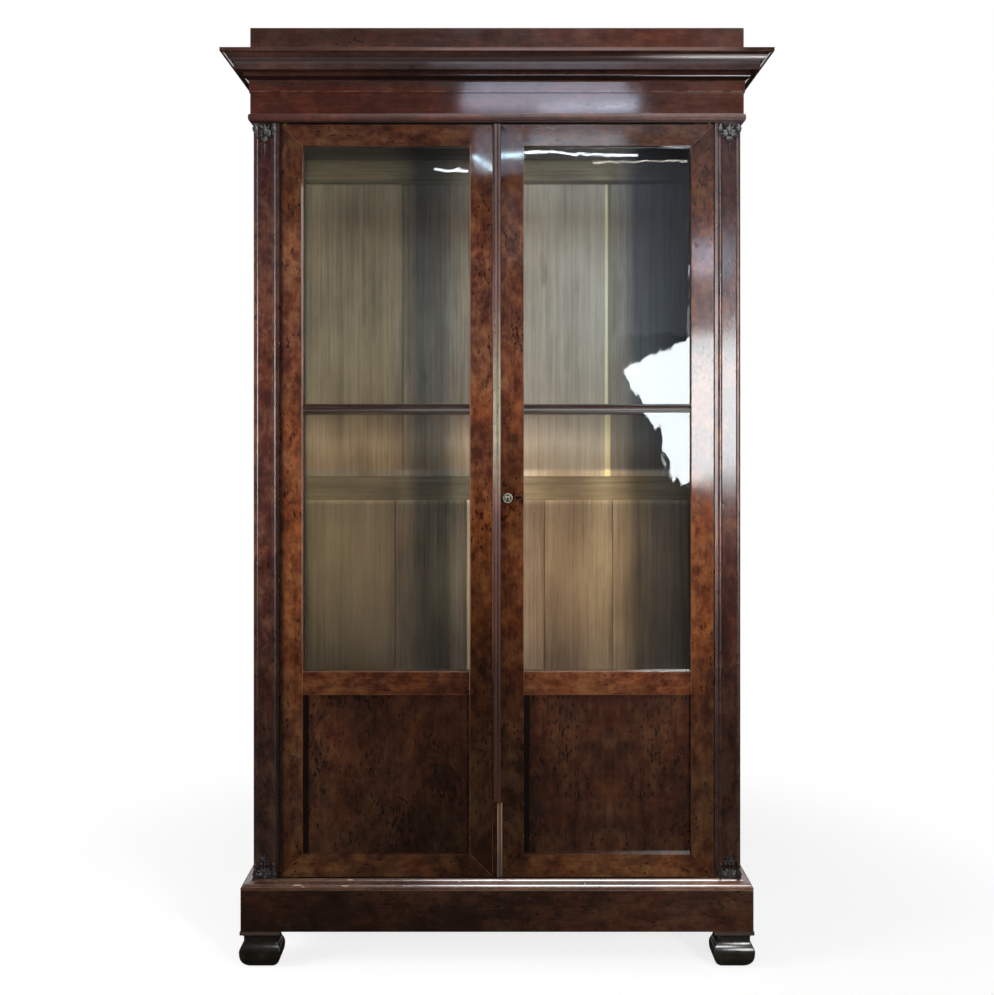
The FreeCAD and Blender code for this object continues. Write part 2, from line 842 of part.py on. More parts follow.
def keyhole(y_low, y_high):
    """Round hole with a slot below it, through the stock between two depths."""
    key_x = right_meeting + key_inset
    hole = rod(keyhole_radius, (key_x, y_low, lock_z), (key_x, y_high, lock_z))
    slot = box((key_x - keyhole_slot_width / 2, key_x + keyhole_slot_width / 2), (y_low, y_high),
               (lock_z - keyhole_slot_length, lock_z))
    return hole.fuse(slot)


def lock_bolt_space(play, x_low, x_high):
    """Space of the lock bolt's section, widened by a play, between two widths."""
    half_thickness = lock_bolt_thickness / 2 + play
    half_height = lock_bolt_height / 2 + play
    return box((x_low, x_high), (lock_y - half_thickness, lock_y + half_thickness),
               (lock_z - half_height, lock_z + half_height))


def door_pivots():
    """Plate, boss and pin at the foot and the head of a right door."""
    solids = []
    for edge_z, way, gap in ((door_low, -1, door_bottom_gap), (door_high, 1, door_top_gap)):
        plate = pivot_plate(edge_z if way < 0 else edge_z - pivot_plate_thickness)
        boss = rod(pivot_boss_radius, (pivot_x, pivot_y, edge_z),
                   (pivot_x, pivot_y, edge_z + way * (gap - seat_gap)))
        pin = rod(pivot_radius, (pivot_x, pivot_y, edge_z),
                  (pivot_x, pivot_y, edge_z + way * (gap + pivot_length)))
        solids.append(fused([plate, boss, pin]))
    return solids


def door(name, meeting, ground, cutters):
    """Frame, infill and pivots of one door, drawn on the right of the middle.

    The ground is the width of plain stile that the meeting bead stands on. The cutters are taken out
    of the meeting stile.
    """
    mitre = meeting + ground
    light = mitre + meeting_stile_width
    stile = door_outer - outer_stile_width
    openings = ((panel_low, panel_high), (lower_light_low, lower_light_high), (upper_light_low, upper_light_high))
    cover = rabbet_width - infill_play
    rabbet_y = door_back_y - rabbet_depth
    ground_foot = [(meeting, door_low)] if ground else []
    ground_head = [(meeting, door_high)] if ground else []
    members = {
        "outer_stile": [(door_outer, door_low), (door_outer, door_high), (stile, upper_light_high),
                        (stile, panel_low)],
        "meeting_stile": ground_foot + [(mitre, door_low), (light, panel_low), (light, upper_light_high),
                                        (mitre, door_high)] + ground_head,
        "bottom_rail": [(mitre, door_low), (door_outer, door_low), (stile, panel_low), (light, panel_low)],
        "top_rail": [(light, upper_light_high), (stile, upper_light_high), (door_outer, door_high),
                     (mitre, door_high)],
        "lock_rail": [(light, panel_high), (stile, panel_high), (stile, lower_light_low), (light, lower_light_low)],
    }
    pieces = {part: front_slab(corners, door_face_y, door_back_y) for part, corners in members.items()}

    bar_low, bar_high = lower_light_high, upper_light_low
    bar = [
        (-door_thickness, bar_low),
        (-bar_fillet_depth, bar_low),
        (-bar_fillet_depth, bar_low + bar_fillet_height),
        (-bar_fillet_depth, bar_high - bar_fillet_height, bar_bow_share),
        (-bar_fillet_depth, bar_high),
        (-door_thickness, bar_high),
    ]
    pieces["glazing_bar"] = side_slab([(door_face_y - out, up, *bow) for out, up, *bow in bar], light, stile)

    for part, piece in pieces.items():
        for low, high in openings:
            piece = piece.cut(box((light - rabbet_width, stile + rabbet_width), (rabbet_y, door_back_y + overrun),
                                  (low - rabbet_width, high + rabbet_width)))
        pieces[part] = piece
    for cutter in cutters:
        pieces["meeting_stile"] = pieces["meeting_stile"].cut(cutter)
    for part, z_low in (("bottom_rail", door_low), ("top_rail", door_high - pivot_plate_thickness)):
        pieces[part] = pieces[part].cut(pivot_plate(z_low))
        pieces["outer_stile"] = pieces["outer_stile"].cut(pivot_plate(z_low))

    infill = {"panel": [], "glass": []}
    beads = []
    for number, (low, high) in enumerate(openings):
        kind, thickness = ("glass", glass_thickness) if number else ("panel", door_panel_thickness)
        x_range, z_range = (light - cover, stile + cover), (low - cover, high + cover)
        infill[kind].append(box(x_range, (rabbet_y, rabbet_y + thickness), z_range))
        beads += mitred_frame(x_range, z_range, cover, rabbet_y + thickness, door_back_y)

    place = mirrored if name == "left" else lambda shape: shape
    for part, piece in pieces.items():
        save(f"{name}_door_{part}", place(piece))
    save(f"{name}_door_panel", *map(place, infill["panel"]))
    save(f"{name}_door_glass", *map(place, infill["glass"]))
    save(f"{name}_door_glazing_beads", *map(place, beads))
    save(f"{name}_door_pivots", *map(place, door_pivots()))


def right_door():
    """Right door with its lock, keyhole plate and meeting bead."""
    case_x = (right_meeting, right_meeting + lock_case_length)
    case_y = (door_back_y - lock_case_thickness, door_back_y)
    case_z = (lock_z - lock_case_height / 2, lock_z + lock_case_height / 2)
    door("right", right_meeting, bead_width, [box(case_x, (case_y[0], door_back_y + overrun), case_z),
                                              keyhole(door_face_y - overrun, case_y[0])])
    bolt_end = right_meeting + bolt_setback + lock_bolt_length
    channel = lock_bolt_space(bolt_play, right_meeting - overrun, bolt_end + bolt_play)
    case = box(case_x, case_y, case_z).cut(channel).cut(keyhole(case_y[0] - overrun, lock_y))
    bolt = lock_bolt_space(0, right_meeting + bolt_setback, bolt_end)

    key_x = right_meeting + key_inset
    plate = outline_face([
        (0, 0),
        (escutcheon_radius, 0),
        (escutcheon_radius - escutcheon_bevel, escutcheon_thickness),
        (0, escutcheon_thickness),
    ], lambda across, out: vector(key_x + across, door_face_y - out, lock_z))
    plate = plate.revolve(vector(key_x, door_face_y, lock_z), vector(0, 1, 0), 360)
    plate = plate.cut(keyhole(door_face_y - escutcheon_thickness - overrun, door_face_y + overrun))

    quirk = bead_quirk_width / 2
    half = bead_width / 2
    bead = [
        (half, 0),
        (half, bead_side_height),
        (quirk, bead_quirk_height, meeting_reed_bow_share),
        (-quirk, bead_quirk_height),
        (-half, bead_side_height, meeting_reed_bow_share),
        (-half, 0),
    ]
    face = outline_face(bead, lambda across, out: vector(across, door_face_y - out, door_low + bead_missing_length))
    bead_length = door_high - door_low - bead_missing_length
    save("meeting_bead", face.extrude(vector(0, 0, bead_length)))
    save("escutcheon", plate)
    save("lock_case", case)
    save("lock_bolt", bolt)


def rod_bolt(edge_z, way):
    """Sliding rod with a knob, whose tip stops short of the carcass. Way is +1 at the head of the door."""
    tip = edge_z - way * rod_tip_gap
    tail = tip - way * rod_length
    knob_z = (tip + tail) / 2
    shank = rod(rod_radius, (rod_x, rod_y, tail), (rod_x, rod_y, tip))
    knob = rod(rod_knob_radius, (rod_x, rod_y, knob_z), (rod_x, rod_y + rod_radius + rod_knob_length, knob_z))
    return fused([shank, knob])


def rod_guides(edge_z, way):
    """Plate with two loops that hold a rod bolt to the back of the stile."""
    plate_end = edge_z - way * (rod_tip_gap + rod_length / 2 - guide_plate_length / 2)
    plate_low = min(plate_end, plate_end - way * guide_plate_length)
    plate_high = plate_low + guide_plate_length
    plate_half = guide_plate_width / 2
    pieces = [box((rod_x - plate_half, rod_x + plate_half), (door_back_y, door_back_y + guide_plate_thickness),
                  (plate_low, plate_high))]
    loop_half = guide_width / 2
    loop_y = rod_y + rod_radius + guide_wall
    for low in (plate_low + guide_margin, plate_high - guide_margin - guide_height):
        pieces.append(box((rod_x - loop_half, rod_x + loop_half), (door_back_y, loop_y),
                          (low, low + guide_height)))
    bore = rod(rod_radius + rod_clearance, (rod_x, rod_y, 0), (rod_x, rod_y, cabinet_height))
    return fused(pieces).cut(bore)


def left_door():
    """Left door with its two upright bolts and the plate that takes the lock bolt."""
    half_length = strike_length / 2
    half_plate = strike_width / 2
    plate = box((left_meeting, left_meeting + strike_thickness),
                (lock_y - half_plate, lock_y + half_plate),
                (lock_z - half_length, lock_z + half_length))
    well = lock_bolt_space(strike_play, left_meeting - overrun, left_meeting + lock_throw + strike_well_margin)
    door("left", left_meeting, 0, [plate, well])
    head_edge = posts_top - stop_height
    fittings = (plate.cut(well), rod_guides(head_edge, 1), rod_guides(floor_top, -1))
    save("left_door_fittings", *map(mirrored, fittings))
    save("upper_rod_bolt", mirrored(rod_bolt(head_edge, 1)))
    save("lower_rod_bolt", mirrored(rod_bolt(floor_top, -1)))


def save(name, *solids):
    """Write the solids of one sub-part to its own file."""
    shape = solids[0] if len(solids) == 1 else Part.makeCompound(list(solids))
    shape.exportStep(f"parts/{name}.step")


os.makedirs("parts", exist_ok=True)
save("feet", *feet())
plinth()
sides()
back()
bottom_and_top()
frieze()
cornice()
cap()
interior()
mounts()
save("pivot_plates", *carcass_pivot_plates())
left_door()
right_door()
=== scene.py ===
# %% [markdown]
# # A tall glazed cabinet
#
# The joinery of this cabinet is already modelled in millimetres and packed as a frame. This lesson
# dresses it: it rounds the arrises, models the curved and carved pieces finely, and gives every
# surface the finish of the old, polished original.
#
# Everything is in metres. X runs along the width, Y from the front to the back and Z up, and the
# floor is at zero.

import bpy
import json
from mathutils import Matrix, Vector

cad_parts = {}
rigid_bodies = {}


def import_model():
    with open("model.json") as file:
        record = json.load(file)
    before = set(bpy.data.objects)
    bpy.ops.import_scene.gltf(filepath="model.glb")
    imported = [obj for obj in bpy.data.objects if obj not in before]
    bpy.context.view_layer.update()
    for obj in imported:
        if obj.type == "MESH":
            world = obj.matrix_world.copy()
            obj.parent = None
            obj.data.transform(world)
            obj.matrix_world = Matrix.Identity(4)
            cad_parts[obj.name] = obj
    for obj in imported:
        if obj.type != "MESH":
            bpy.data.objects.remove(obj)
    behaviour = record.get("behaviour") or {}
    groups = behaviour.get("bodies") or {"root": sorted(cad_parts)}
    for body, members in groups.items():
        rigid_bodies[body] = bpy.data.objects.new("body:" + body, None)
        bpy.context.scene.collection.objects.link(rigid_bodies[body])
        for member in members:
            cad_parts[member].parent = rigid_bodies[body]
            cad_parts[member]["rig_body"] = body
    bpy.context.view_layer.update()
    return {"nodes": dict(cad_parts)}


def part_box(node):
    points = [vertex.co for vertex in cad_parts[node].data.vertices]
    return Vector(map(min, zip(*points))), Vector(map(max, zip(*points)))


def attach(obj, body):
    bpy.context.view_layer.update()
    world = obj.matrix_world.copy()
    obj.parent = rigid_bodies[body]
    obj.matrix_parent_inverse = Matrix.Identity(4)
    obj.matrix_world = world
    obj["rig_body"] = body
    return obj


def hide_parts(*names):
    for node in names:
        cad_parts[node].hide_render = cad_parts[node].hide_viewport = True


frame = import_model()

# %% Bring in the tools
import json
import math
import random

import bmesh
import bpy
from mathutils import Matrix, Vector

# %% [markdown]
# ## The camera
#
# The photograph was taken from straight in front, at about eye level, with the camera held level.
# So the uprights stay parallel, the cornice shows its underside and the plinth its top. A level
# camera that sees more below its axis than above it is a shifted lens, as on a view camera.

# %% Place the camera
def link(name, data):
    """A new object of the scene."""
    piece = bpy.data.objects.new(name, data)
    bpy.context.scene.collection.objects.link(piece)
    return piece


eye_distance = 2.76
eye_height = 1.282
focal_pixels = 1083.3
picture_height = 995
horizon_row = 430

lens = bpy.data.cameras.new("view")
lens.sensor_width = 36.0
lens.lens = focal_pixels / picture_height * lens.sensor_width
lens.shift_y = (horizon_row - picture_height / 2) / picture_height
camera = link("view", lens)
camera.location = (0, -eye_distance, eye_height)
camera.rotation_euler = (math.pi / 2, 0, 0)
bpy.context.scene.camera = camera
bpy.context.scene.view_settings.view_transform = "Standard"
print("lens:", round(lens.lens, 2), "mm, shift:", round(lens.shift_y, 4))

# %% [markdown]
# ## Node trees written as sums
#
# A finish is a tree of small nodes. Wiring them by hand hides the thought, so one class wraps a
# socket and lets it be added, subtracted, multiplied and divided, and one method adds any other node.

# %% A socket that can be used in a sum
def operation(name, swapped=False):
    """A method that joins two values by a maths node."""
    def join(self, other):
        return self.maths(name, *((other, self) if swapped else (self, other)))
    return join


class Value:
    def __init__(self, sheet, socket):
        self.sheet = sheet
        self.socket = socket

    def maths(self, name, *terms):
        return self.sheet.add("ShaderNodeMath", dict(enumerate(terms)), operation=name)

    __add__ = __radd__ = operation("ADD")
    __sub__, __rsub__ = operation("SUBTRACT"), operation("SUBTRACT", True)
    __mul__ = __rmul__ = operation("MULTIPLY")
    __truediv__ = operation("DIVIDE")
    most, least = operation("MAXIMUM"), operation("MINIMUM")

    def __abs__(self):
        return self.maths("ABSOLUTE", self)

    def step(self, low, high):
        """Rises smoothly from 0 at low to 1 at high. It falls where low is above high."""
        low, high, start, end = (low, high, 0.0, 1.0) if low < high else (high, low, 1.0, 0.0)
        return self.sheet.add("ShaderNodeMapRange", {"Value": self, "From Min": low, "From Max": high,
                              "To Min": start, "To Max": end}, interpolation_type="SMOOTHSTEP")


# %% A tree that grows one node at a time
class Sheet:
    def __init__(self, tree):
        self.tree = tree

    def add(self, kind, sockets=None, output=0, stops=None, **settings):
        node = self.tree.nodes.new(kind)
        for name, value in settings.items():
            setattr(node, name, value)
        if stops:
            elements = node.color_ramp.elements
            while len(elements) < len(stops):
                elements.new(0.5)
            for element, (place, tint) in zip(elements, stops):
                element.position = place
                element.color = tint
        for name, value in (sockets or {}).items():
            if isinstance(value, Value):
                self.tree.links.new(value.socket, node.inputs[name])
            else:
                node.inputs[name].default_value = value
        return Value(self, node.outputs[output])

    def parts(self, vector):
        """The three numbers of a vector."""
        first = self.add("ShaderNodeSeparateXYZ", {0: vector})
        return [Value(self, output) for output in first.socket.node.outputs]

    def stretched(self, vector, scales):
        return self.add("ShaderNodeVectorMath", {0: vector, 1: scales}, operation="MULTIPLY")

    def moved(self, vector, offset):
        return self.add("ShaderNodeVectorMath", {0: vector, 1: offset}, operation="ADD")

    def here(self):
        """The place on the piece, in metres."""
        return self.add("ShaderNodeTexCoord", output="Object")

    def swayed(self, place, sway, reach):
        """The place, moved to and fro by the colour of a noise."""
        centred = self.moved(sway, (-0.5, -0.5, -0.5))
        return self.moved(place, self.stretched(centred, (reach, reach, reach)))

    def noise(self, vector, scale=1.0, detail=2.0, roughness=0.5, output=0):
        return self.add("ShaderNodeTexNoise", {"Vector": vector, "Scale": scale, "Detail": detail,
                        "Roughness": roughness}, output=output)

    def grain(self, vector, scales, detail, roughness=0.5, output=0):
        """A noise that is drawn out along an axis."""
        return self.noise(self.stretched(vector, scales), 1.0, detail, roughness, output)

    def mixed(self, share, first, second, blend="MIX"):
        return self.add("ShaderNodeMix", {0: share, 6: first, 7: second}, output=2,
                        data_type="RGBA", blend_type=blend)

    def coats(self, colour, *layers):
        """Lays tints over a colour, each by its share."""
        for share, coat in layers:
            colour = self.mixed(share, colour, coat)
        return colour

    def ramp(self, share, stops):
        return self.add("ShaderNodeValToRGB", {0: share}, stops=stops)

    def bump(self, height, distance, strength=1.0):
        return self.add("ShaderNodeBump", {"Height": height, "Distance": distance, "Strength": strength})


def tint(red, green, blue):
    """A screen colour, 0 to 255, as the linear colour that a shader takes."""
    shares = [value / 255 for value in (red, green, blue)]
    return tuple(s / 12.92 if s <= 0.04045 else ((s + 0.055) / 1.055) ** 2.4 for s in shares) + (1.0,)


def new_finish(name):
    material = bpy.data.materials.new(name)
    material.use_nodes = True
    material.node_tree.nodes.clear()
    return material, Sheet(material.node_tree)


def shown(sheet, shader):
    output = sheet.tree.nodes.new("ShaderNodeOutputMaterial")
    sheet.tree.links.new(shader.socket, output.inputs["Surface"])


def surface(sheet, colour, rough, **sockets):
    """Ends a finish in one shader. The names of its other sockets are written with underscores."""
    values = {name.replace("_", " "): value for name, value in sockets.items()}
    shown(sheet, sheet.add("ShaderNodeBsdfPrincipled", {"Base Color": colour, "Roughness": rough, **values}))


print("sheet ready")

# %% [markdown]
# ## The studio
#
# The cabinet stood in a dim room. Daylight from the right of the camera lit the inside and threw the
# stiles' shadows leftward onto the back boards, and the nearer edge of that window is mirrored in the
# right door. A broad light stood at the far left and a lamp hung under the ceiling. What the camera
# sees behind the cabinet is white, and so is what glass lets through. The dark room in front of a
# polished surface is what keeps its colour deep.

# %% Set the room
def light_path(sheet):
    """Shares of rays: what the camera sees, straight or through glass, and what a shine sees."""
    camera_ray = sheet.add("ShaderNodeLightPath", output="Is Camera Ray")
    rays = {output.name: Value(sheet, output) for output in camera_ray.socket.node.outputs}
    bounced = (rays["Diffuse Depth"] + rays["Glossy Depth"]).least(1.0)
    return camera_ray.most(rays["Is Transmission Ray"] * (1.0 - bounced)), rays["Is Glossy Ray"]


world = bpy.data.worlds.new("room")
world.use_nodes = True
world.node_tree.nodes.clear()
bpy.context.scene.world = world
room = Sheet(world.node_tree)
direction = room.add("ShaderNodeTexCoord", output="Generated")
sideways, upward = room.parts(direction)[1:]
behind = sideways.step(-0.15, 0.3)
ceiling = upward.step(-0.6, 0.9)
seen, glossy = light_path(room)
seen = seen.most(glossy * behind)
fill = ceiling * 0.10 + 0.03
mirrored = ceiling * 0.07 + 0.01
level = seen.most((1.0 - seen) * (fill * (1.0 - glossy) + mirrored * glossy))
sky = room.add("ShaderNodeBackground", {"Color": (1.0, 1.0, 1.0, 1.0), "Strength": level})
room_out = world.node_tree.nodes.new("ShaderNodeOutputWorld")
world.node_tree.links.new(sky.socket, room_out.inputs["Surface"])
print("room nodes:", len(world.node_tree.nodes))


# %% Lay the floor
def circle(radius, sides):
    """Points round a circle."""
    return [(radius * math.cos(2 * math.pi * n / sides), radius * math.sin(2 * math.pi * n / sides))
            for n in range(sides)]


def solid(name, verts, faces):
    mesh = bpy.data.meshes.new(name)
    mesh.from_pydata(verts, [], faces)
    return mesh


rim = [(x, y, 0) for x, y in circle(14.0, 96)]
floor = link("floor", solid("floor", rim, [tuple(range(len(rim)))]))
pale, sheet = new_finish("pale_floor")
place = sheet.here()
x, y, z = sheet.parts(place)
away = (x * x + y * y).step(0.6, 3.0)
floor_seen, floor_glossy = light_path(sheet)
grey = sheet.mixed(floor_glossy, (0.34, 0.34, 0.34, 1.0), (0.06, 0.055, 0.05, 1.0))
lit = sheet.add("ShaderNodeBsdfDiffuse", {"Color": grey})
glow = sheet.add("ShaderNodeEmission", {"Color": (1.0, 1.0, 1.0, 1.0), "Strength": floor_seen * 0.8})
near = sheet.add("ShaderNodeAddShader", {0: lit, 1: glow})
white = sheet.add("ShaderNodeEmission", {"Color": (1.0, 1.0, 1.0, 1.0), "Strength": 1.0})
shown(sheet, sheet.add("ShaderNodeMixShader", {0: away * floor_seen, 1: near, 2: white}))
floor.data.materials.append(pale)
print("floor:", pale.name)


# %% Hang the lamps
def lamp(name, centre, target, width, height, radiance, tone):
    data = bpy.data.lights.new(name, "AREA")
    data.shape = "RECTANGLE"
    data.size, data.size_y = width, height
    data.energy = radiance * math.pi * width * height
    data.color = tone
    piece = link(name, data)
    piece.location = centre
    piece.rotation_euler = (Vector(target) - Vector(centre)).to_track_quat("-Z", "Y").to_euler()
    piece.visible_camera = False
    return piece


far_left = ((-3.2, -1.35, 1.75), (0.0, -0.1, 1.25), 1.3, 1.3)
left_light = lamp("left_light", *far_left, 14.0, (1.0, 0.985, 0.96))
left_light.visible_glossy = False
left_sheen = lamp("left_sheen", *far_left, 6.0, (1.0, 0.93, 0.95))
left_sheen.visible_diffuse = False
lamp("overhead_light", (0.5, -1.6, 3.2), (0.5, -1.6, 0.0), 1.6, 1.4, 1.6, (0.95, 0.98, 1.0))
lamp("daylight", (1.75, -3.36, 1.5), (0.0, 0.0, 1.3), 0.5, 1.2, 62.0, (1.0, 0.99, 0.97))

# %% [markdown]
# Smaller lamps hung nearer to the cabinet, and their mirror images are the sheen on its frieze, on
# the heads of its doors and in its panes. Where such a lamp hangs follows from where its image is:
# the image's place in the picture is followed out to the plane of the lamps. Each of them only
# shows as a reflection, so it adds no light to the wood.

# %% Hang the mirrored lamps
wood_y, glass_y = -0.16, -0.144
middle_column = 497


def mirrored_at(column, row, mirror_y, lamp_y):
    """The point in the plane lamp_y whose image in the plane mirror_y falls on a place in the picture."""
    reach = (eye_distance + mirror_y) + (mirror_y - lamp_y)
    across, up = (column - middle_column) / focal_pixels, (horizon_row - row) / focal_pixels
    return (across * reach, lamp_y, eye_height + up * reach)


def mirrored_lamp(name, picture, mirror_y, lamp_y, radiance, tone, lean):
    """A lamp whose image fills a box of the picture: left, top, right and bottom."""
    left, top, right, bottom = picture
    low, high = mirrored_at(left, bottom, mirror_y, lamp_y), mirrored_at(right, top, mirror_y, lamp_y)
    centre = Vector(((low[0] + high[0]) / 2, lamp_y, (low[2] + high[2]) / 2))
    piece = lamp(name, centre, centre + Vector((0, 1, 0)), high[0] - low[0], high[2] - low[2], radiance, tone)
    piece.rotation_euler.rotate_axis("Z", math.radians(lean))
    piece.visible_diffuse = False


far, mid, near = -3.36, -1.4, -1.36
cool, cold, cream, tube = (0.82, 0.89, 1.0), (0.72, 0.8, 1.0), (1.0, 0.95, 0.85), (0.6, 0.84, 1.0)
for name, picture, mirror, lamp_plane, radiance, tone, lean in [
        ("frieze_sheen", (462, 94, 638, 113), wood_y, mid, 8.5, cold, 0),
        ("frieze_low_sheen", (540, 106, 636, 112), wood_y, near, 15.0, cold, 1.5),
        ("corona_sheen", (430, 61, 640, 70), wood_y, mid, 3.5, cold, 0),
        ("corona_right", (640, 61, 735, 70), wood_y, mid, 2.2, cold, 0),
        ("right_stile_sheen", (502, 188, 523, 262), wood_y, mid, 0.5, cool, 0),
        ("fascia_sheen", (465, 82, 625, 92), wood_y, mid, 9.0, cold, 0),
        ("stile_sheen", (474, 130, 523, 173), wood_y, mid, 2.6, cold, 0),
        ("rail_sheen", (530, 134, 625, 146), wood_y, mid, 6.0, cool, 0),
        ("high_sheen", (530, 122, 700, 132), wood_y, mid, 1.2, cool, 0),
        ("left_stile_tube", (471, 161, 496, 163.8), wood_y, near, 62.0, tube, -33),
        ("right_stile_tube", (500, 153, 524, 156.5), wood_y, near, 48.0, tube, 3),
        ("left_tube", (435, 170.5, 468, 172.7), glass_y, near, 34.0, cool, -1),
        ("right_tube", (524, 153.3, 636, 155.6), glass_y, near, 34.0, cool, -2),
        ("thin_tube", (592, 161.8, 686, 163), glass_y, near, 11.0, cream, 0),
        ("sky_patch", (690, 240, 736, 276), wood_y, far, 9.5, cold, 0),
        ("sky_haze", (690, 276, 736, 335), wood_y, far, 2.5, cool, 0),
        ("sky_high", (690, 120, 736, 236), wood_y, far, 0.6, cool, 0),
        ("curtain", (622, 165, 689, 335), glass_y, far, 0.35, cold, 0)]:
    mirrored_lamp(name, picture, mirror, lamp_plane, radiance, tone, lean)
panel_image = lamp("overhead_sheen", (0.5, -1.6, 3.19), (0.5, -1.6, 0.0), 1.57, 1.4, 22.0, (0.95, 0.98, 1.0))
panel_image.visible_diffuse = False

# %% [markdown]
# The window is a bright sheet, half covered by something that hangs beside it, so its outline is
# ragged. It stands behind the camera, and its corners are worked out from where its mirror image
# falls on the door.

# %% Open the window
window_outline = [(679, 485), (667, 459), (654, 422), (645, 413), (634, 391), (629, 380), (626, 370),
                  (641, 359), (666, 352), (690, 336), (900, 330), (900, 540), (790, 540), (775, 472), (752, 476)]
corners = [mirrored_at(column, row, glass_y, far) for column, row in window_outline]
mesh = solid("window", corners, [tuple(range(len(corners)))])
window = link("window", mesh)
window.visible_camera = False
window.visible_diffuse = False
daylight, sheet = new_finish("daylight")
shown(sheet, sheet.add("ShaderNodeEmission", {"Color": (0.9, 0.97, 1.0, 1.0), "Strength": 20.0}))
mesh.materials.append(daylight)
print("window:", [round(value, 2) for value in corners[0]], "normal:", mesh.polygons[0].normal)

# %% [markdown]
# ## Polished mahogany
#
# The cabinet is veneered in mottled mahogany under an old shellac polish. Its colour comes in
# layers: broad patches from red to orange, streaks along the grain, fine pores, and the small dark
# flecks that give this cut its look. Noise stretched along the grain makes each layer. Each board
# needs its own grain direction, so one function builds the finish for a given axis. Light and shade
# are painted into the colour as levels by height and across the width: darker towards the floor
# and the head of the doors and most beside the meeting line, and lighter where lamps and their
# reflections fall.

# %% Layers of a veneer
full_height, full_width = 2.3, 1.4


def grain_scales(axis, across, along):
    scales = [across, across, across]
    scales[axis] = along
    return tuple(scales)


def painted_light_levels(sheet, place, colour, by_height, by_width, fade=(1.35, 0.75)):
    """Paints light and shade into a colour: multiplies it by height above the floor and, below the fade,
    by place across the width. A place across the width has one level or a level for each of red, green and blue."""
    x, y, z = sheet.parts(place)
    upright = sheet.ramp(z / full_height, [(height / full_height, level + (1.0,)) for height, level in by_height])
    colour = sheet.mixed(1.0, colour, upright, "MULTIPLY")
    levels = [(across, level if isinstance(level, tuple) else (level,) * 3) for across, level in by_width]
    stops = [(across / full_width + 0.5, level + (1.0,)) for across, level in levels]
    sideways = sheet.ramp(x / full_width + 0.5, stops)
    return sheet.mixed(z.step(*fade), colour, sideways, "MULTIPLY")


def veneer(name, axis, tones, fleck=0.5, gloss=0.12, figure=1.0, toning=None, seed=0.0, fold=None, marks=None,
           shine=0.5):
    """Mahogany veneer with its grain along an axis. The tones run from the flecks to the lightest streak."""
    material, sheet = new_finish(name)
    whole = sheet.here()
    place = whole
    if fold is not None:
        x, y, z = sheet.parts(place)
        place = sheet.add("ShaderNodeCombineXYZ", {0: abs(x - fold), 1: y, 2: z})
    own = sheet.add("ShaderNodeAttribute", output="Fac", attribute_name="board_tone")
    shift = sheet.add("ShaderNodeCombineXYZ", {0: own * 9.0 + seed, 1: own * 4.0 + seed, 2: own * 6.0 - seed})
    place = sheet.moved(place, shift)
    wavy = sheet.swayed(place, sheet.noise(place, 9.0, 2.0, output=1), 0.022)

    def layer(across, along, detail=2.0, rough=0.5):
        return sheet.grain(wavy, grain_scales(axis, across, along), detail, rough)

    patch = layer(8.0, 4.0)
    cloud = layer(38.0, 26.0, 2.5, 0.55)
    plume = layer(95.0, 70.0, 3.0, 0.6)
    streak = layer(150.0, 7.0, 4.0, 0.65)
    pore = layer(640.0, 36.0, 2.0, 0.6)
    spot = layer(140.0, 62.0, 2.0, 0.55)
    crowd = layer(10.0, 7.0)
    hue = layer(15.0, 11.0)
    mottle = (cloud - 0.5) * 0.95 + (plume - 0.5) * 0.5
    body = (patch - 0.5) * 0.75 + mottle * figure + (streak - 0.5) * 0.35 + 0.52
    dark, deep, mid, warm, pale = tones
    colour = sheet.ramp(body, [(0.3, deep), (0.47, mid), (0.6, warm), (0.78, pale)])
    colour = sheet.mixed(hue.step(0.42, 0.6), colour, (1.0, 0.86, 0.82, 1.0), "MULTIPLY")
    flecks = (spot + (crowd - 0.5) * 0.5).step(0.69 - 0.12 * fleck, 0.77 - 0.12 * fleck)
    pores = pore.step(0.58, 0.78)
    colour = sheet.coats(colour, (flecks * 0.8, dark), (pores * 0.3, dark))
    # Light and shade are painted into the colour by height and across the width.
    if toning is not None:
        colour = painted_light_levels(sheet, whole, colour, *toning)
    haze = sheet.noise(place, 11.0, 4.0, 0.6)
    rub = sheet.grain(place, (260.0, 260.0, 90.0), 2.0, 0.6).step(0.55, 0.8)
    rough = (haze - 0.5) * 0.12 + gloss + flecks * 0.04 + rub * 0.06
    if marks is not None:
        x, y, z = sheet.parts(whole)
        colour, rough = marks(sheet, whole, x, z, colour, rough)
    relief = (1.0 - pores) * 0.3 + (1.0 - flecks) * 0.5 + haze * 0.8
    surface(sheet, colour, rough, Specular_IOR_Level=shine, Normal=sheet.bump(relief, 0.0001, 0.35))
    return material


def family(name, tones, **options):
    """The same veneer with its grain along X, Y and Z, and the worn colour of its arrises."""
    finishes = [veneer(f"{name}_{letter}", axis, tones, seed=3.1 * axis, **options)
                for axis, letter in enumerate("xyz")]
    return finishes + [worn_edge(f"{name}_worn", tones)]


def worn_edge(name, tones):
    """Rubbed arris: the polish is thin and the wood under it lighter, in places."""
    material, sheet = new_finish(name)
    place = sheet.here()
    rub = sheet.noise(place, 55.0, 4.0, 0.7).step(0.42, 0.66)
    chip = sheet.noise(place, 190.0, 2.0, 0.6).step(0.64, 0.7)
    colour = sheet.coats(tones[2], (rub, tones[4]), (chip * 0.5, tint(168, 122, 84)))
    surface(sheet, colour, 0.32 + rub * 0.15, Specular_IOR_Level=0.35)
    return material


# %% [markdown]
# The doors are the reddest and most lively wood, the posts are darker, the frieze and cornice lean
# to purple, the panels are dark with many flecks and the plinth is almost black.

# %% Mix the mahogany finishes
def shades(*colours):
    return tuple(tint(*colour) for colour in colours)


def rising(start, step, *levels):
    """Levels of red, green and blue at heights that rise by an even step."""
    return [(start + number * step, level) for number, level in enumerate(levels)]


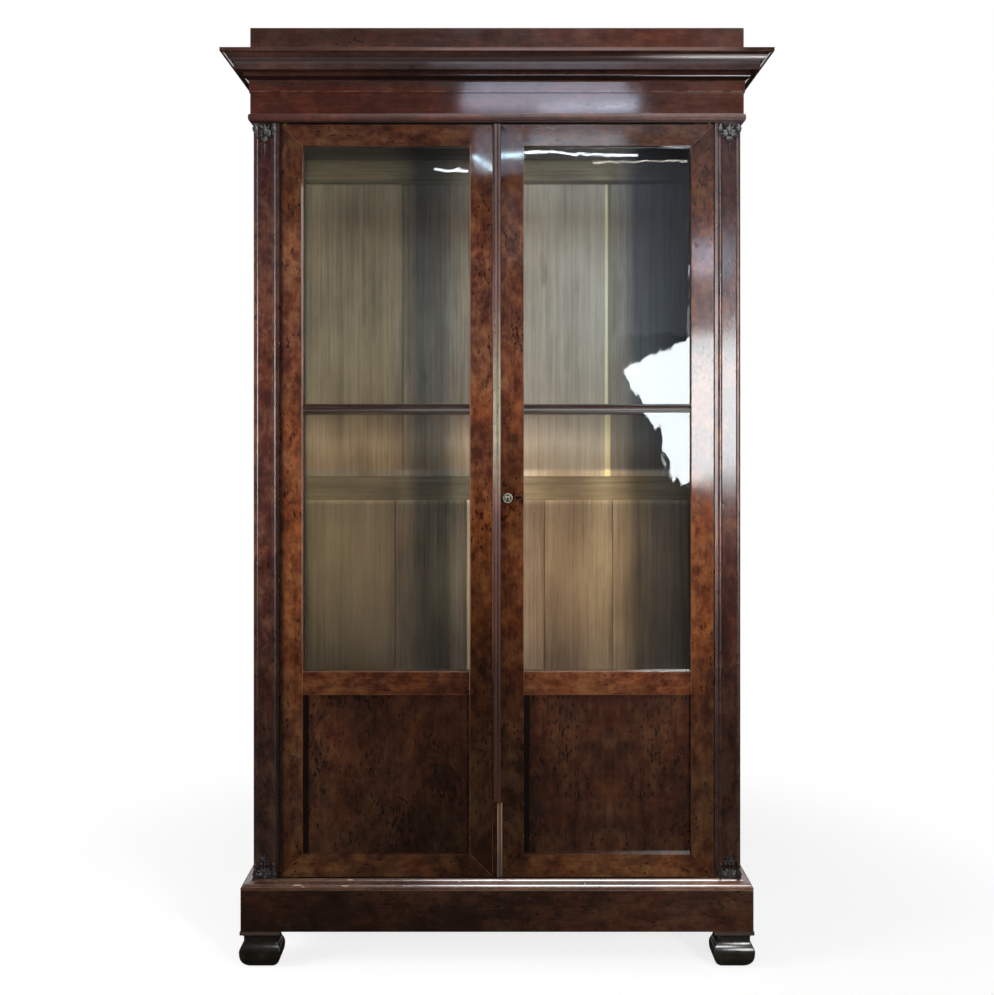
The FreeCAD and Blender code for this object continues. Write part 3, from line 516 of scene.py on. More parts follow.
door_tones = shades((30, 14, 10), (74, 38, 25), (102, 55, 34), (122, 69, 40), (142, 88, 52))
post_tones = shades((24, 14, 12), (56, 32, 27), (74, 42, 34), (90, 54, 42), (110, 70, 52))
cornice_tones = shades((26, 17, 16), (46, 30, 27), (58, 38, 34), (72, 46, 40), (90, 60, 50))
panel_tones = shades((18, 11, 8), (46, 26, 18), (64, 36, 25), (80, 48, 32), (98, 62, 42))
plinth_tones = shades((14, 9, 7), (38, 23, 16), (52, 32, 22), (66, 42, 28), (84, 55, 38))
rubbed_tones = shades((36, 22, 16), (70, 46, 34), (88, 60, 45), (104, 74, 56), (124, 92, 72))
bar_tones = shades((26, 16, 13), (60, 43, 37), (74, 55, 48), (86, 67, 58), (98, 79, 70))
bead_tones = shades((50, 32, 28), (84, 54, 46), (100, 67, 58), (116, 80, 70), (134, 96, 84))


def ragged_spot(rag, x, z, x_at, z_at, half_width, half_height, torn_by):
    """A chip or a stain: an oval whose edge a noise tears."""
    across, up = (x - x_at) / half_width, (z - z_at) / half_height
    return (across * across + up * up + (rag - 0.5) * torn_by).step(1.1, 0.7)


def widest(shares):
    """The greatest of some shares."""
    first, *others = shares
    for other in others:
        first = first.most(other)
    return first


def meeting_marks(sheet, place, x, z, colour, rough):
    """Bare wood where the bead's lowest stretch came away, old glue beside it, a gouge and a dark ring by the lock,
    painted shade round the lock on the right stile, and painted highlights along the stiles' edges by the panes.
    """
    torn = sheet.noise(place, 160.0, 3.0, 0.7)
    rag = sheet.noise(place, 330.0, 4.0, 0.75)
    edge = (torn - 0.5) * 0.0015
    low_end = (z + (torn - 0.5) * 0.01).step(0.388, 0.384)
    inside = (abs(x - 0.0067) + edge).step(0.0064, 0.0058) * low_end
    fibre = sheet.grain(place, (700.0, 60.0, 26.0), 3.0, 0.7)
    raw = sheet.ramp(fibre, [(0.35, tint(52, 28, 14)), (0.52, tint(88, 50, 22)), (0.7, tint(112, 68, 34))])
    glue = abs(abs(x - 0.0067) - 0.0046).step(0.0014, 0.0004) * torn.step(0.2, 0.36)
    old_glue = sheet.mixed(z.step(0.34, 0.22), tint(164, 136, 108), tint(104, 86, 70))
    raw = sheet.coats(raw, (z.step(0.3, 0.24) * 0.7, tint(30, 18, 12)), (glue * 0.9, old_glue))
    soiled = abs(x - 0.008).step(0.009, 0.003) * low_end
    gouge = ragged_spot(rag, x, z, 0.0512, 1.1195, 0.0086, 0.0034, 2.2)
    halo = ragged_spot(rag, x, z, 0.0258, 1.117, 0.0175, 0.0145, 1.5) * 0.75
    # Painted shade round the lock on the right stile.
    shaded = abs(z - 1.14).step(0.16, 0.05) * x.step(0.0, 0.01) * 0.45
    # Painted highlight along the stiles' edges by the panes.
    arris = abs(abs(x) - 0.0642).step(0.0014, 0.0004) * z.step(0.6, 0.9)
    colour = sheet.coats(
        colour, (soiled * 0.6, tint(26, 16, 11)), (inside, raw), ((gouge * 0.9).most(halo), tint(20, 9, 7)),
        (shaded, tint(24, 11, 8)), (arris * 0.5, tint(150, 132, 122)))
    return colour, rough + inside * 0.45


def panel_marks(sheet, place, x, z, colour, rough):
    """A painted shadow, nearly black, along the left edge of each panel, where its stile shades it."""
    # Painted shadow along each panel's left edge.
    painted_shadow_left = (x + 0.4675).step(0.0138, 0.0118) * x.step(-0.3, -0.31)
    painted_shadow_right = (x - 0.0648).step(0.0148, 0.0126) * x.step(0.05, 0.06)
    return sheet.mixed(painted_shadow_left.most(painted_shadow_right) * 0.88, colour, tint(9, 5, 4)), rough


def door_marks(sheet, place, x, z, colour, rough):
    """A painted shadow of the post on the left stile, wider towards the floor, and a painted highlight along its edge
    by the pane.
    """
    # Painted shadow of the post on the left stile, wider towards the floor.
    reach = z.step(2.0, 0.7) * 0.006 + 0.008
    corner = ((x + 0.521) / reach).step(1.15, 0.1)
    # Painted highlight along the stile's edge by the pane.
    beside = abs(x + 0.4686) + (z - 1.28).step(0.6, 0.0) * 0.001
    arris = beside.step(0.0026, 0.0012) * z.step(0.74, 0.76) * z.step(1.88, 1.86)
    return sheet.coats(colour, (corner * 0.8, tint(20, 11, 9)),
                       (arris * z.step(0.0, 1.9), tint(158, 146, 142))), rough


def post_marks(sheet, place, x, z, colour, rough):
    """A painted shadow on the plain flat beside the left door, deeper towards the floor. The reeds have lost most of
    their gloss.
    """
    # Painted shadow beside the left door.
    painted_post_shadow = (x + 0.533).step(0.0, 0.006) * x.step(-0.4, -0.5) * z.step(2.0, 0.8)
    half_band = (reed_out - reed_in) / 2
    off_band = abs(abs(x) - band_middle).step(half_band, half_band + 0.001)
    return sheet.mixed(painted_post_shadow * 0.75, colour, tint(18, 10, 9)), rough + off_band * 0.16


def bead_marks(sheet, place, x, z, colour, rough):
    """The bead's middle is tinted olive over its painted sheen, and its right edge carries a painted shadow."""
    # Olive tint over the painted sheen on the bead's middle.
    olive = abs(x - bead_middle).step(0.0046, 0.0024) * z.step(1.12, 1.24) * z.step(1.62, 1.5)
    colour = sheet.mixed(olive, colour, (0.55, 0.68, 0.48, 1.0), "MULTIPLY")
    # Painted shadow along the bead's right edge.
    return sheet.mixed((x - bead_middle).step(0.0076, 0.009) * 0.6, colour, tint(34, 24, 26)), rough


def bar_marks(sheet, place, x, z, colour, rough):
    """Three dark lines along each glazing bar, painted shade of grooves that its shape does not have."""
    # Painted shade of grooves along the bar.
    painted_groove_shade = widest(abs(z - bar_middle - up).step(0.003, 0.0012) for up in (0.0074, -0.0016, -0.0098))
    return sheet.mixed(painted_groove_shade * 0.95, colour, tint(18, 10, 9)), rough


def plinth_marks(sheet, place, x, z, colour, rough):
    """Chips along the moulding, where pale wood shows."""
    rag = sheet.noise(place, 330.0, 4.0, 0.75)
    pale = widest(ragged_spot(rag, x, z, *chip, 3.2) for chip in [
        (-0.352, 0.2038, 0.0085, 0.0011), (-0.362, 0.1965, 0.010, 0.0010), (-0.476, 0.1975, 0.012, 0.0011),
        (-0.462, 0.1945, 0.005, 0.0009), (-0.09, 0.2010, 0.004, 0.0009), (0.027, 0.2035, 0.008, 0.0012),
        (0.21, 0.1990, 0.003, 0.0008)])
    return sheet.mixed(pale * 0.7, colour, tint(168, 134, 100)), rough + pale * 0.3


def cornice_marks(sheet, place, x, z, colour, rough):
    """The left of the frieze is the reddest and the polish is crazed. Rubbing and a painted highlight lighten the top
    fillet.
    Painted shade lies below it, under the corona and in the recess above the posts; painted highlights and sheen lie
    on the ovolo, the frieze's upper line, the hollow and the corona; the cap is lightened, most on the right, as
    painted light.
    """
    # Painted shade on a band below the top fillet.
    painted_hollow_shade = z.step(2.1655, 2.163) * z.step(2.152, 2.156)
    # The top fillet is lightened by rubbing and by a painted highlight.
    rubbed = z.step(2.1695, 2.1705) * z.step(2.1795, 2.1785) * x.step(0.6, 0.5)
    # Painted highlight along a line near the frieze's top, strongest on the right.
    edge = abs(z - 2.0925).step(0.0016, 0.0007) * sheet.noise(place, 24.0, 3.0, 0.6).step(0.4, 0.6)
    # Painted shadow under the corona.
    under = abs(z - 2.1225).step(0.0042, 0.0032)
    # Painted shadow in the recess above the posts.
    gap = z.step(joint_above + 0.0035, joint_above + 0.0025)
    # Painted highlight on the ovolo, towards the right.
    worn = abs(z - 2.1605).step(0.006, 0.0035) * x.step(0.28, 0.52)
    # Painted grey sheen over the hollow.
    painted_grey_sheen = abs(z - 2.153).step(0.007, 0.003)
    # Painted bluish sheen on the corona.
    corona = z.step(2.136, 2.138) * z.step(2.161, 2.158)
    # The frieze is reddest on the left. The cap is lightened, more towards the right, as painted light.
    red = sheet.mixed(z.step(2.1, 2.11), (1.38, 0.99, 0.82, 1.0), (1.0, 1.05, 1.03, 1.0))
    warm = sheet.mixed(z.step(2.17, 2.19), (1.2, 1.0, 0.88, 1.0), (1.1, 0.84, 0.68, 1.0))
    for share, factors in [(1.0, sheet.mixed(x.step(-0.15, 0.45), red, warm)),
                           (z.step(2.178, 2.182), (1.25, 1.3, 1.3, 1.0)), (corona, (1.2, 1.5, 1.7, 1.0))]:
        colour = sheet.mixed(share, colour, factors, "MULTIPLY")
    colour = sheet.coats(
        colour, (painted_hollow_shade * 0.4, tint(44, 34, 34)),
        (rubbed * x.step(-0.6, 0.1) * 0.5 + rubbed * 0.1, tint(140, 104, 92)),
        (edge * (x.step(0.38, 0.5) * 0.4 + 0.35), tint(150, 114, 94)), (under * 0.8, tint(8, 5, 5)),
        (gap * 0.85, tint(8, 5, 5)), (worn * 0.7, tint(176, 168, 166)), (painted_grey_sheen * 0.35, tint(92, 84, 86)))
    crazed = sheet.noise(place, 150.0, 4.0, 0.7).step(0.45, 0.62) * z.step(2.13, 2.12)
    return colour, rough + painted_hollow_shade * 0.08 + crazed * 0.04 + z.step(2.042, 2.038) * 0.3


even = [(-0.5, 1.0), (0.5, 1.0)]
# Painted light and shade on the doors: darker towards the floor, the head and the meeting line, lighter where lamps
# and their reflections fall.
door_toning = (rising(
    0.26, 0.12, (0.37, 0.50, 0.55), (0.36, 0.55, 0.74), (0.40, 0.55, 0.70), (0.50, 0.61, 0.67), (0.68, 0.76, 0.81),
    (1.10, 1.27, 1.31), (1.08, 1.21, 1.28), (1.26, 1.34, 1.31), (1.05, 1.2, 1.5), (1.22, 1.46, 1.65),
    (0.96, 1.24, 1.88), (0.73, 0.93, 1.5), (1.19, 1.61, 2.24), (0.6, 0.71, 0.88), (0.47, 0.6, 0.85),
), [(-0.52, 1.0), (-0.35, 1.25), (-0.2, 1.05), (-0.1, 0.85), (-0.06, 0.45), (0.0, 0.4), (0.008, 0.58),
    (0.062, 0.62), (0.08, 1.3), (0.2, 1.45), (0.42, 1.95), (0.48, 1.15), (0.52, 1.0)])
# Painted light and shade on the posts by height, with the right post darker.
post_toning = (rising(
    0.35, 0.17, (0.46, 0.70, 0.78), (0.46, 0.60, 0.64), (0.62, 0.76, 0.83), (1.0, 1.13, 1.23), (1.35, 1.5, 1.6),
    (1.3, 1.5, 1.7),
) + [(1.4, (1.7, 1.85, 1.8)), (1.6, (1.08, 1.05, 1.2)), (1.75, (1.15, 1.55, 1.85)), (1.9, (0.62, 0.76, 1.1))],
    [(0.0, 1.0), (0.3, (0.9, 0.8, 0.76))], (3.0, 2.9))
# Painted sheen on the meeting bead at the lock's height, with painted shade above and below it.
bead_toning = ([
    (0.57, (0.31, 0.24, 0.17)), (0.74, (0.30, 0.22, 0.16)), (0.91, (0.45, 0.30, 0.24)), (1.08, (1.0, 1.15, 1.2)),
    (1.25, (3.2, 5.6, 5.8)), (1.41, (2.0, 3.3, 3.3)), (1.58, (0.85, 0.8, 0.9)), (1.75, (0.52, 0.38, 0.30)),
    (1.92, (0.39, 0.43, 0.5)),
], even)
# Painted light and shade on the panels, by height and across the width.
panel_toning = ([(0.3, (0.72, 0.85, 0.85)), (0.56, (1.15, 1.2, 1.12))],
                [(-0.46, 1.15), (-0.34, 0.7), (-0.2, 0.52), (-0.1, 0.38), (0.06, 0.76), (0.2, 0.9), (0.45, 1.0)])
# Painted light on the plinth and its moulding: darker to the left, lighter to the right where the lamp above is
# mirrored.
plinth_toning = ([(0.1, (1.0, 1.0, 1.0)), (0.2, (1.0, 1.0, 1.0))],
                 [(-0.62, 0.45), (-0.3, 0.52), (-0.1, 0.6), (0.1, 0.8), (0.3, 0.95), (0.45, 2.0), (0.62, 1.8)])
moulding_painted_light = [(-0.62, 0.7), (-0.2, 0.65), (-0.1, 1.0), (0.36, 1.15), (0.5, 1.9)]
post_low, post_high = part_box("right_front_post")
joint_above = post_high.z
corner_reed, inner_reed_end = 0.011, 0.018
reed_in, reed_out = post_low.x + inner_reed_end, post_high.x - corner_reed
band_middle = (reed_in + reed_out) / 2
bead_middle = sum(corner.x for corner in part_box("meeting_bead")) / 2
bar_middle = sum(corner.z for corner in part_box("left_door_glazing_bar")) / 2
frieze_look = {"fleck": 0.05, "figure": 0.55, "marks": cornice_marks}
panel_look = {"fleck": 0.8, "figure": 0.65, "gloss": 0.16, "toning": panel_toning, "marks": panel_marks}
door_wood = family("door_mahogany", door_tones, fleck=0.4, gloss=0.09, toning=door_toning, marks=door_marks)
post_wood = family("post_mahogany", post_tones, fleck=0.2, toning=post_toning, marks=post_marks)
cornice_wood = family("cornice_mahogany", cornice_tones, gloss=0.09, **frieze_look)
frieze_bead_wood = family("frieze_bead_mahogany", cornice_tones, gloss=0.15, shine=0.14, **frieze_look)
panel_wood = family("panel_mahogany", panel_tones, **panel_look)
plinth_wood = family("plinth_mahogany", plinth_tones, fleck=0.3, gloss=0.2, figure=0.7, toning=plinth_toning)
rubbed_plinth = family("rubbed_plinth_mahogany", rubbed_tones, fleck=0.3, gloss=0.2, figure=0.6,
                       toning=(plinth_toning[0], moulding_painted_light), marks=plinth_marks, shine=1.0)
meeting_wood = veneer("meeting_stile_mahogany", 2, door_tones, fleck=0.4, toning=door_toning, seed=6.2,
                      gloss=0.06, marks=meeting_marks)
folded_panel = veneer("book_matched_mahogany", 2, panel_tones, seed=2.3, fold=0.2717, **panel_look)
bead_wood = veneer("meeting_bead_mahogany", 2, bead_tones, fleck=0.1, gloss=0.4, figure=0.4, toning=bead_toning,
                   seed=4.4, shine=0.25, marks=bead_marks)
bar_wood = family("glazing_bar_mahogany", bar_tones, fleck=0.1, gloss=0.34, figure=0.5, shine=0.3, marks=bar_marks)
print("mahogany finishes:", len([m for m in bpy.data.materials if "mahogany" in m.name]))

# %% [markdown]
# ## Bare oak
#
# Inside, the back, the racks and the shelves are oak that was never polished. It has gone grey-tan,
# with long straight grain, darker stains and dust. Boards of one wall differ in tone, so each board
# carries a number of its own, kept on its mesh, that the finish reads. Light and shade are painted
# into the oak as well: the shadows of the stiles and posts on the back boards, lit bands under the
# upper shelf and along the back's top rail, and darker copies of the oak as painted shade.

# %% Mix the oak
plain = [(0.2, (1.0, 1.0, 1.0)), (2.0, (1.0, 1.0, 1.0))]
# Painted light and shade on the inside oak: the shadows of the stiles and posts on the back boards, and lit bands
# under the upper shelf and along the back's top rail.
oak_toning = ([
    (0.66, (0.62, 0.62, 0.66)), (0.78, (0.8, 0.78, 0.76)), (0.9, (1.03, 1.0, 0.98)), (1.077, (1.08, 1.05, 1.0)),
    (1.092, (2.15, 2.1, 2.0)), (1.164, (2.15, 2.1, 2.0)), (1.17, (2.1, 2.15, 2.3)), (1.2, (2.2, 2.3, 2.3)),
    (1.25, (3.2, 3.4, 3.6)), (1.32, (3.1, 3.3, 3.5)), (1.345, (1.25, 1.4, 1.5)), (1.4, (1.13, 1.26, 1.35)),
    (1.6, (1.13, 1.26, 1.35)), (1.75, (1.2, 1.3, 1.37)), (1.86, (1.0, 1.04, 1.06)), (1.94, (1.36, 1.52, 1.65)),
    (1.962, (1.36, 1.52, 1.65)), (1.968, (2.4, 2.6, 2.75)), (2.01, (2.4, 2.6, 2.75)), (2.03, (0.9, 1.1, 1.3)),
], [(-0.525, 0.27), (-0.514, (0.62, 0.59, 0.52)), (-0.29, (0.61, 0.58, 0.52)), (-0.25, (0.6, 0.59, 0.6)),
    (-0.21, (0.33, 0.38, 0.46)), (-0.156, (0.48, 0.54, 0.67)), (-0.1, (0.9, 0.92, 1.0)), (0.09, (0.72, 0.74, 0.84)),
    (0.2, (0.61, 0.66, 0.78)), (0.3, (0.71, 0.78, 0.92)), (0.345, (0.62, 0.71, 0.9)), (0.38, (0.27, 0.34, 0.5)),
    (0.43, (0.19, 0.26, 0.43)), (0.47, (0.155, 0.21, 0.35)), (0.52, (0.085, 0.11, 0.16))])
low_oak_toning = (plain, [
    (-0.43, (0.9, 1.1, 1.33)), (-0.29, (0.82, 0.97, 1.25)), (-0.25, (1.4, 1.7, 2.13)), (-0.21, (1.32, 1.5, 1.8)),
    (-0.156, (0.92, 1.18, 1.4)), (-0.07, (0.81, 1.0, 1.33)), (0.05, (2.2, 2.4, 2.7)), (0.15, (1.5, 1.5, 1.42)),
    (0.22, (1.43, 1.38, 1.33)), (0.3, (2.3, 2.4, 2.3)), (0.345, (2.64, 2.48, 2.26)), (0.38, (2.8, 2.6, 2.23)),
    (0.43, (3.6, 3.45, 3.1)), (0.52, (4.0, 4.25, 4.4))])
rail_oak_toning = (plain, [
    (-0.29, 0.9), (-0.21, 0.4), (-0.1, 0.55), (0.03, 0.95), (0.15, 1.25), (0.25, 1.8), (0.35, 1.5), (0.43, 1.25),
    (0.5, 0.6)])


def bare_oak(name, axis, tones, seed=0.0, dark_front=False, covered_from=None):
    """Unpolished oak with its grain along an axis, browner towards the floor."""
    material, sheet = new_finish(name)
    whole = sheet.here()
    own = sheet.add("ShaderNodeAttribute", output="Fac", attribute_name="board_tone")
    shift = sheet.add("ShaderNodeCombineXYZ", {0: own * 7.0 + seed, 1: own * 3.0, 2: own * 5.0})
    place = sheet.moved(whole, shift)
    sway = sheet.grain(place, grain_scales(axis, 3.0, 1.0), 2.0, output=1)
    wavy = sheet.swayed(place, sway, 0.016)
    streak = sheet.grain(wavy, grain_scales(axis, 110.0, 1.8), 5.0, 0.7)
    fine = sheet.grain(wavy, grain_scales(axis, 620.0, 12.0), 3.0, 0.65)
    stain = sheet.grain(place, grain_scales(axis, 6.5, 2.4), 4.0, 0.6)
    knot = sheet.grain(wavy, grain_scales(axis, 16.0, 5.0), 2.0).step(0.7, 0.78)
    body = streak * 0.38 + fine * 0.2 + stain * 0.52 + (own - 0.5) * 0.16
    dark, mid, pale = tones
    colour = sheet.ramp(body, [(0.38, dark), (0.55, mid), (0.72, pale)])
    colour = sheet.mixed(knot * 0.5, colour, dark)
    across, depth, level = sheet.parts(whole)
    if covered_from is not None:
        covered = (across - covered_from).step(0.0, 0.0015) * level.step(1.33, 1.35)
        colour = sheet.mixed(covered, colour, tint(128, 112, 92))
    colour = sheet.mixed(level.step(1.6, 0.9), colour, (1.0, 0.78, 0.56, 1.0), "MULTIPLY")
    # Painted light and shade, by height and across the width.
    colour = painted_light_levels(sheet, whole, colour, *oak_toning, (3.0, 2.9))
    colour = painted_light_levels(sheet, whole, colour, *low_oak_toning, (1.18, 1.165))
    colour = painted_light_levels(sheet, whole, colour, *rail_oak_toning, (1.958, 1.964))
    if dark_front:
        colour = sheet.mixed(depth.step(-0.125, -0.131), colour, tint(28, 17, 13))
    surface(sheet, colour, 0.62 + fine * 0.25, Specular_IOR_Level=0.05,
            Normal=sheet.bump(fine * 0.6 + streak * 0.4, 0.0003, 0.6))
    return material


def oak_family(name, tones, seed_step, edge_seed):
    """The same oak with its grain along X, Y and Z, and that of its eased arrises."""
    finishes = [bare_oak(f"{name}_{letter}", axis, tones, seed_step * axis) for axis, letter in enumerate("xyz")]
    return finishes + [bare_oak(f"{name}_edge", 0, tones, edge_seed)]


oak_tones = shades((96, 82, 68), (132, 116, 97), (156, 140, 120))
rail_tones = shades((66, 56, 44), (98, 86, 68), (120, 108, 88))
shadow_oak_tones = shades((50, 43, 37), (76, 67, 57), (98, 88, 76))
pale_oak_tones = shades((160, 138, 96), (188, 168, 126), (204, 188, 150))
inside_oak = oak_family("inside_oak", oak_tones, 1.3, 5.0)
rail_oak = oak_family("rail_oak", rail_tones, 1.7, 6.0)
# Darker copies of the oak, as painted shade: one for the racks, shelves, back posts, glazing beads and door stop, one
# for the top and bottom boards.
shaded_oak = oak_family("shaded_oak", shadow_oak_tones, 2.1, 4.0)
floor_oak = [bare_oak(f"floor_oak_{letter}", axis, shadow_oak_tones, 3.3, dark_front=True)
             for axis, letter in enumerate("xyz")]
floor_oak.append(floor_oak[0])
pale_oak = bare_oak("pale_oak", 2, pale_oak_tones, 7.0, covered_from=0.3025)
print("oak finishes:", len([m for m in bpy.data.materials if "oak" in m.name]))

# %% [markdown]
# ## Glass and metal
#
# The panes are old glass: clear, slightly wavy and a little dirty towards the edges. A real pane
# lets lamps through to what is behind it, which a traced glass can't do cheaply, so rays on their
# way to a lamp see the pane as open. The metals are a tarnished brass, a pale worn plate, a dull
# iron and the blackened bronze of the mounts.

# %% Mix the glass
glass, sheet = new_finish("old_glass")
place = sheet.here()
swell = sheet.grain(place, (3.0, 3.0, 6.0), 1.0, 0.4)
ripple = sheet.grain(place, (16.0, 16.0, 9.0), 2.0)
pane = sheet.add("ShaderNodeBsdfPrincipled", {
    "Base Color": (0.97, 0.985, 0.975, 1.0),
    "Roughness": 0.02,
    "IOR": 1.45,
    "Transmission Weight": 1.0,
    "Normal": sheet.bump(swell + ripple * 0.9, 0.00035, 1.0),
})
dust = sheet.add("ShaderNodeBsdfDiffuse", {"Color": tint(150, 150, 146)})
film = sheet.noise(place, 3.5, 4.0, 0.6).step(0.45, 0.8) * 0.014 + 0.003
dirty = sheet.add("ShaderNodeMixShader", {0: film, 1: pane, 2: dust})
open_way = sheet.add("ShaderNodeBsdfTransparent", {"Color": (0.93, 0.95, 0.94, 1.0)})
to_lamp = sheet.add("ShaderNodeLightPath", output="Is Shadow Ray")
shown(sheet, sheet.add("ShaderNodeMixShader", {0: to_lamp, 1: dirty, 2: open_way}))
print("glass ready")


# %% Mix the metals
def metal(name, bright, dull, rough, share=1.0, scale=60.0):
    material, sheet = new_finish(name)
    place = sheet.here()
    stain = sheet.noise(place, scale, 5.0, 0.65)
    scratch = sheet.grain(place, (900.0, 300.0, 60.0), 2.0, 0.6)
    surface(sheet, sheet.ramp(stain, [(0.35, dull), (0.62, bright)]), stain * 0.25 + rough, Metallic=share,
            Normal=sheet.bump(scratch * 0.4 + stain, 0.00015, 0.4))
    return material


aged_brass = metal("aged_brass", tint(188, 156, 96), tint(98, 74, 44), 0.25)
pale_plate = metal("pale_plate", tint(168, 160, 142), tint(74, 74, 60), 0.4, 0.5, 380.0)
plate_ground = metal("plate_ground", tint(84, 82, 68), tint(40, 38, 32), 0.5, 0.4)
dull_iron = metal("dull_iron", tint(118, 114, 108), tint(56, 50, 44), 0.4)
dark_bronze = metal("dark_bronze", tint(56, 53, 51), tint(26, 23, 22), 0.36, 0.45, 140.0)
print("metals:", aged_brass.name, pale_plate.name, dull_iron.name, dark_bronze.name)

# %% [markdown]
# ## Boards with rounded arrises
#
# A planed board never has a perfectly sharp edge, and the thin line of light on a rubbed arris is
# what makes joinery look real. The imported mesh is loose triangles, so each board is copied, its
# triangles are joined into whole faces, and a small bevel rounds every edge. The bevel's faces take
# the worn finish. The grain of a board runs along its longest side.

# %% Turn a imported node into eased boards
def settled(mesh_data, name):
    """The finished mesh of one that was being built."""
    mesh = bpy.data.meshes.new(name)
    mesh_data.to_mesh(mesh)
    mesh_data.free()
    return mesh


def bake_modifiers(piece):
    """The piece's mesh with its modifiers worked in, and the modifiers gone."""
    graph = bpy.context.evaluated_depsgraph_get()
    mesh = bpy.data.meshes.new_from_object(piece.evaluated_get(graph), depsgraph=graph)
    piece.modifiers.clear()
    piece.data = mesh
    return piece


def shade(piece, angle=24):
    """Smooth along curves, sharp at corners."""
    mesh = piece.data
    mesh.polygons.foreach_set("use_smooth", [True] * len(mesh.polygons))
    mesh.set_sharp_from_angle(angle=math.radians(angle))
    return piece


def ease(piece, width=0.0006, worn_slot=3):
    piece.data.polygons.foreach_set("use_smooth", [True] * len(piece.data.polygons))
    bevel = piece.modifiers.new("eased arris", "BEVEL")
    bevel.width = width
    bevel.segments = 2
    bevel.limit_method = "ANGLE"
    bevel.angle_limit = math.radians(32)
    bevel.material = worn_slot
    bevel.use_clamp_overlap = True
    weigh = piece.modifiers.new("flat faces stay flat", "WEIGHTED_NORMAL")
    weigh.mode = "FACE_AREA"
    weigh.weight = 100
    weigh.keep_sharp = True
    return bake_modifiers(piece)


def islands(mesh_data):
    """Groups of faces that hang together, in a steady order."""
    left = set(mesh_data.faces)
    groups = []
    while left:
        seed_face = min(left, key=lambda face: face.index)
        group, edge_of = {seed_face}, [seed_face]
        while edge_of:
            face = edge_of.pop()
            for edge in face.edges:
                for other in edge.link_faces:
                    if other not in group:
                        group.add(other)
                        edge_of.append(other)
        left -= group
        groups.append(group)
    return groups


def coat(mesh, finishes):
    """Adds finishes to a mesh, in their order."""
    for finish in finishes:
        mesh.materials.append(finish)


def dress(piece, node, finishes):
    """Gives a piece its finishes and the body that its node rides on."""
    if not piece.data.materials:
        coat(piece.data, finishes)
    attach(piece, frame["nodes"][node]["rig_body"])
    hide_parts(node)


def boards(node, finishes, width=0.0006, axis=None):
    """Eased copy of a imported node. The grain follows each board's longest side, or the axis that is asked for."""
    mesh_data = bmesh.new()
    mesh_data.from_mesh(frame["nodes"][node].data)
    bmesh.ops.remove_doubles(mesh_data, verts=mesh_data.verts, dist=2e-6)
    bmesh.ops.dissolve_limit(mesh_data, angle_limit=math.radians(0.5), verts=mesh_data.verts, edges=mesh_data.edges)
    mesh_data.faces.index_update()
    tone = mesh_data.faces.layers.float.new("board_tone")
    dice = random.Random(node)
    for group in islands(mesh_data):
        corners = [vert.co for face in group for vert in face.verts]
        sizes = [max(places) - min(places) for places in zip(*corners)]
        value = dice.random()
        for face in group:
            face.material_index = sizes.index(max(sizes)) if axis is None else axis
            face[tone] = value
    mesh = settled(mesh_data, node + "_eased")
    piece = link(node + "_eased", mesh)
    coat(mesh, finishes)
    ease(piece, width)
    low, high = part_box(node)
    for vert in piece.data.vertices:
        vert.co = [min(max(value, least), most) for value, least, most in zip(vert.co, low, high)]
    dress(piece, node, finishes)


# %% Ease the doors
for side in ("left", "right"):
    for part in ("outer_stile", "meeting_stile", "bottom_rail", "top_rail", "lock_rail"):
        boards(f"{side}_door_{part}", door_wood, 0.0009)
    boards(f"{side}_door_glazing_bar", bar_wood, 0.0005)
    boards(f"{side}_door_panel", panel_wood, 0.0004, axis=2)
    boards(f"{side}_door_glazing_beads", shaded_oak, 0.0008)
    bpy.data.objects[f"{side}_door_meeting_stile_eased"].data.materials[2] = meeting_wood
bpy.data.objects["right_door_panel_eased"].data.materials[2] = folded_panel
print("door boards eased")

# %% Ease the carcass
for finishes, width, nodes in [
        (post_wood, 0.0008, ["side_rails", "left_side_panel", "right_side_panel"]),
        (cornice_wood, 0.0008, ["frieze_front", "frieze_returns", "cap_front", "cap_returns"]),
        (plinth_wood, 0.001, ["plinth_front", "plinth_sides"]),
        (inside_oak, 0.0012, ["plinth_back", "plinth_blocks", "cap_lid"]),
        (rail_oak, 0.0012, ["back_rails"]),
        (floor_oak, 0.0012, ["top_board", "bottom_board"]),
        (shaded_oak, 0.0008, ["back_posts", "shelf_racks", "shelf_cleats", "lower_shelf", "upper_shelf",
                             "door_stop"])]:
    for node in nodes:
        boards(node, finishes, width)

# %% [markdown]
# ## Mitred mouldings
#
# A moulding is one section that runs along the front and returns along both sides, cut at half a
# right angle where the runs meet. The rule is the same for every moulding, so a Geometry Nodes tree
# makes it: it takes the section as a flat face, stands it at the start of the run, and slides the
# far end out. At a mitre, each point of the section goes further by as much as it projects.

# %% Draw a section
def outline(corners, steps=10):
    """Points round a closed section. A third number bows the side that leads to a corner."""
    points = []
    before = corners[-1]
    for corner in corners:
        across, up = corner[0] - before[0], corner[1] - before[1]
        if len(corner) > 2:
            half = 2 * math.atan(2 * corner[2])
            for number in range(1, steps + 1):
                angle = half * (2 * number / steps - 1)
                along = 0.5 + math.sin(angle) / (2 * math.sin(half))
                out = (math.cos(angle) - math.cos(half)) / (2 * math.sin(half))
                points.append((before[0] + across * along + up * out, before[1] + up * along - across * out))
        else:
            points.append(corner)
        before = corner
    return points


def flat_face(name, points):
    return solid(name, [(x, y, 0.0) for x, y in points], [tuple(range(len(points)))])


